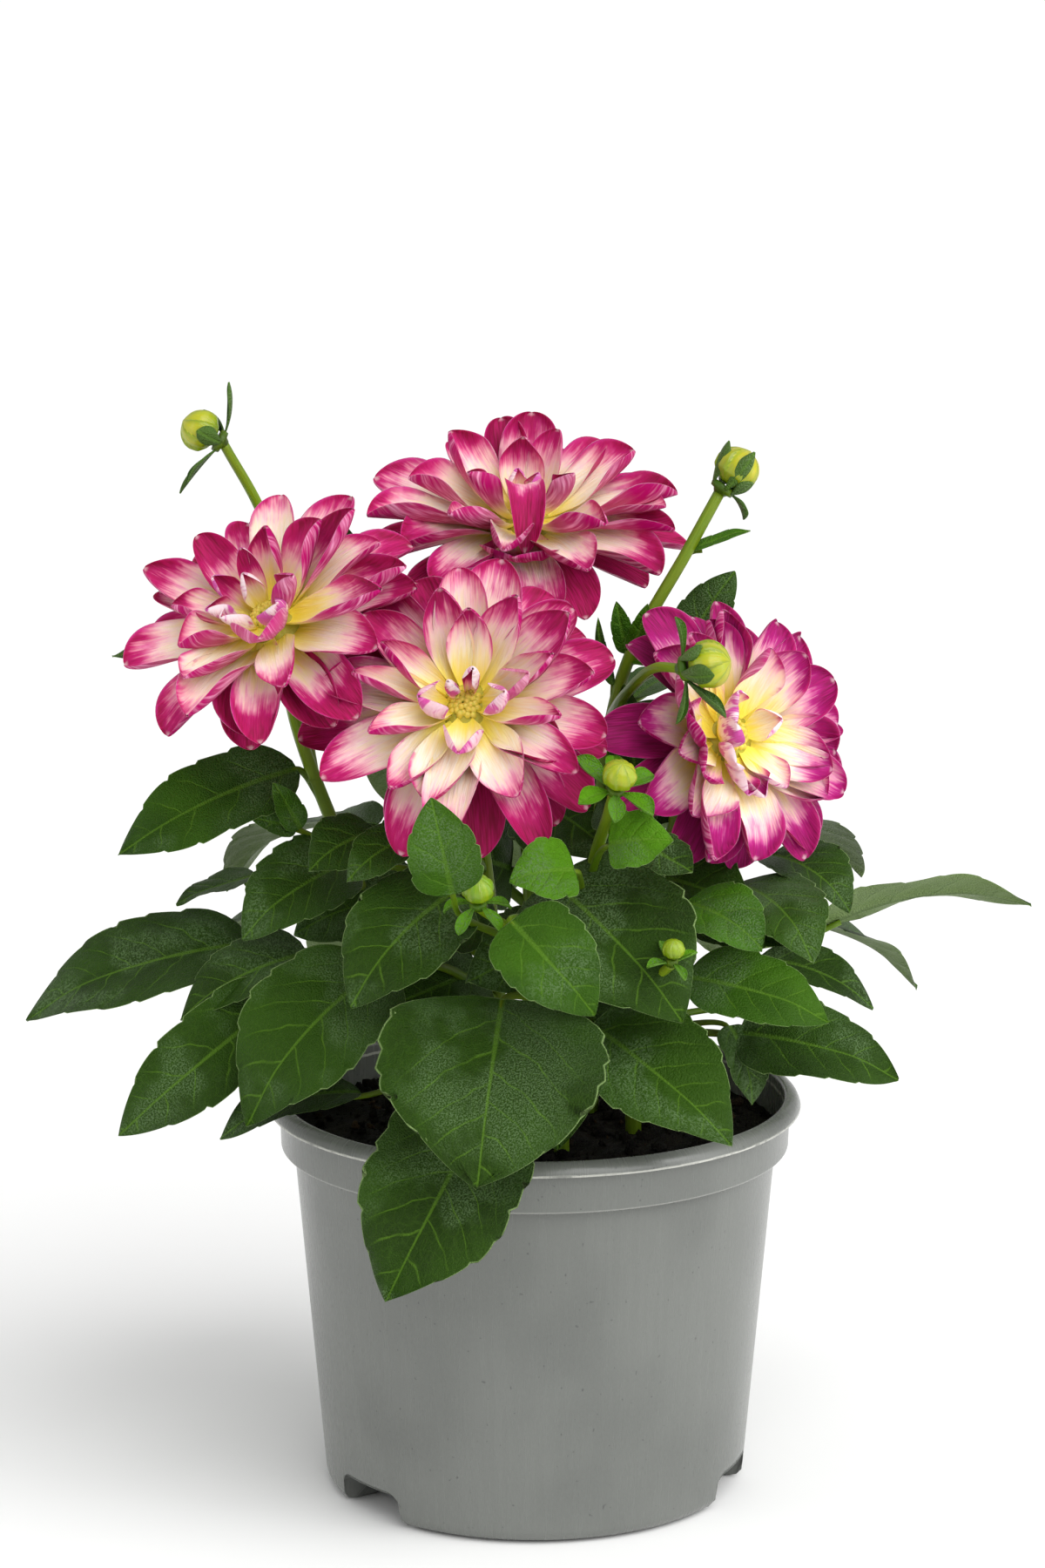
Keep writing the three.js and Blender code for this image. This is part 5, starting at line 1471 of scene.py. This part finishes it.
def bud_finish():
    """Glossy yellow green: yellow towards the tip, green at the foot and along the overlaps."""
    material, tree = new_material("green bud")
    broad, fine = use_group(STREAKS, Vector=uv_place(tree), Width=0.16, Length=1.4, Shift=0.0)
    reach, seam, ripe = marks(tree, "reach", "seam", "ripe")
    top = blend(ripe, (0.17, 0.33, 0.008), (0.5, 0.44, 0.008))
    colour = layered(
        blend(fade(reach, 0.0, 0.7), (0.1, 0.2, 0.002), top),
        (fade(broad, 0.35, 0.7, 0.0, 0.7), (0.28, 0.38, 0.006)),
        (fade(seam, 0.5, 1.0, 0.0, 0.8), (0.17, 0.25, 0.004)))
    values = {"Roughness": 0.28, "Subsurface Weight": 0.1, "Subsurface Scale": 0.0015}
    return finished(material, colour, values, fine, 0.0003, 0.4)


bud_material = bud_finish()
for name, bud in BUDS.items():
    make_piece(f"ball_{name}", [bud_surface(bud)], bud_material, "bud_green", f"bud_{name}")

# %% [markdown]
# ## Stage
# A plant sold in a pot is photographed on a white sweep under a large soft lamp from the upper
# right. A wide pale floor takes the place of the sweep, because the camera looks down enough to see
# nothing else. A broad sun gives the soft shadows, the white surroundings fill them, and two soft
# boxes make the long highlights on the pot. The camera stands where the photographer's stood: the
# width of the lip and the heights of lip and foot in the picture give its distance and its tilt.

# %% Floor, lights and camera
FLOOR_SIZE = 60.0
SUN_WAY, SUN_STRENGTH, SUN_SPREAD = (-0.42, 0.58, -0.7), 2.3, 60
SURROUNDINGS = 0.62
BOX_SIZE, BOX_AIM = (0.5, 1.2), (0, 0, 0.1)
CAMERA_PLACE = (-0.0003, -1.247, 0.454)
CAMERA_TILT, CAMERA_TURN, LENS = 77.96, 0.134, 112.84


def towards(way):
    """The turn of a lamp that shines along a direction."""
    return Vector(way).to_track_quat("-Z", "Y").to_euler()


def placed(name, data, place=(0, 0, 0), turn=(0, 0, 0)):
    """A lamp or camera in the scene."""
    item = bpy.data.objects.new(name, data)
    item.location, item.rotation_euler = place, turn
    bpy.context.scene.collection.objects.link(item)
    return item


def soft_box(name, place, watts):
    """A tall rectangular lamp that looks at the pot."""
    data = bpy.data.lights.new(name, "AREA")
    data.shape, data.energy = "RECTANGLE", watts
    data.size, data.size_y = BOX_SIZE
    placed(name, data, place, towards(Vector(BOX_AIM) - Vector(place)))


def stage():
    """The floor, the surroundings, the lamps and the camera."""
    scene = bpy.context.scene
    scene.view_settings.view_transform = "Standard"
    bpy.ops.mesh.primitive_plane_add(size=FLOOR_SIZE)
    floor = bpy.context.object
    floor.name = "pale_floor"
    material, tree = new_material("pale floor")
    values = {"Base Color": (0.93, 0.93, 0.925, 1), "Roughness": 0.8, "Specular IOR Level": 0.2}
    for key, value in values.items():
        put(tree.nodes["Principled BSDF"].inputs, key, value)
    floor.data.materials.append(material)
    world = bpy.data.worlds.new("white surroundings")
    world.use_nodes = True
    for key, value in {"Color": (1, 1, 1, 1), "Strength": SURROUNDINGS}.items():
        put(world.node_tree.nodes["Background"].inputs, key, value)
    scene.world = world
    sun = bpy.data.lights.new("broad sun", "SUN")
    sun.energy, sun.angle = SUN_STRENGTH, math.radians(SUN_SPREAD)
    placed("broad sun", sun, turn=towards(SUN_WAY))
    soft_box("right box", (1.1, -0.35, 0.45), 4.5)
    soft_box("left box", (-1.3, -0.7, 0.5), 3)
    lens = bpy.data.cameras.new("camera")
    lens.lens = LENS
    turn = (math.radians(CAMERA_TILT), 0, math.radians(CAMERA_TURN))
    scene.camera = placed("camera", lens, CAMERA_PLACE, turn)


stage()
print("stage ready: floor", FLOOR_SIZE, "m, lens", LENS, "mm")
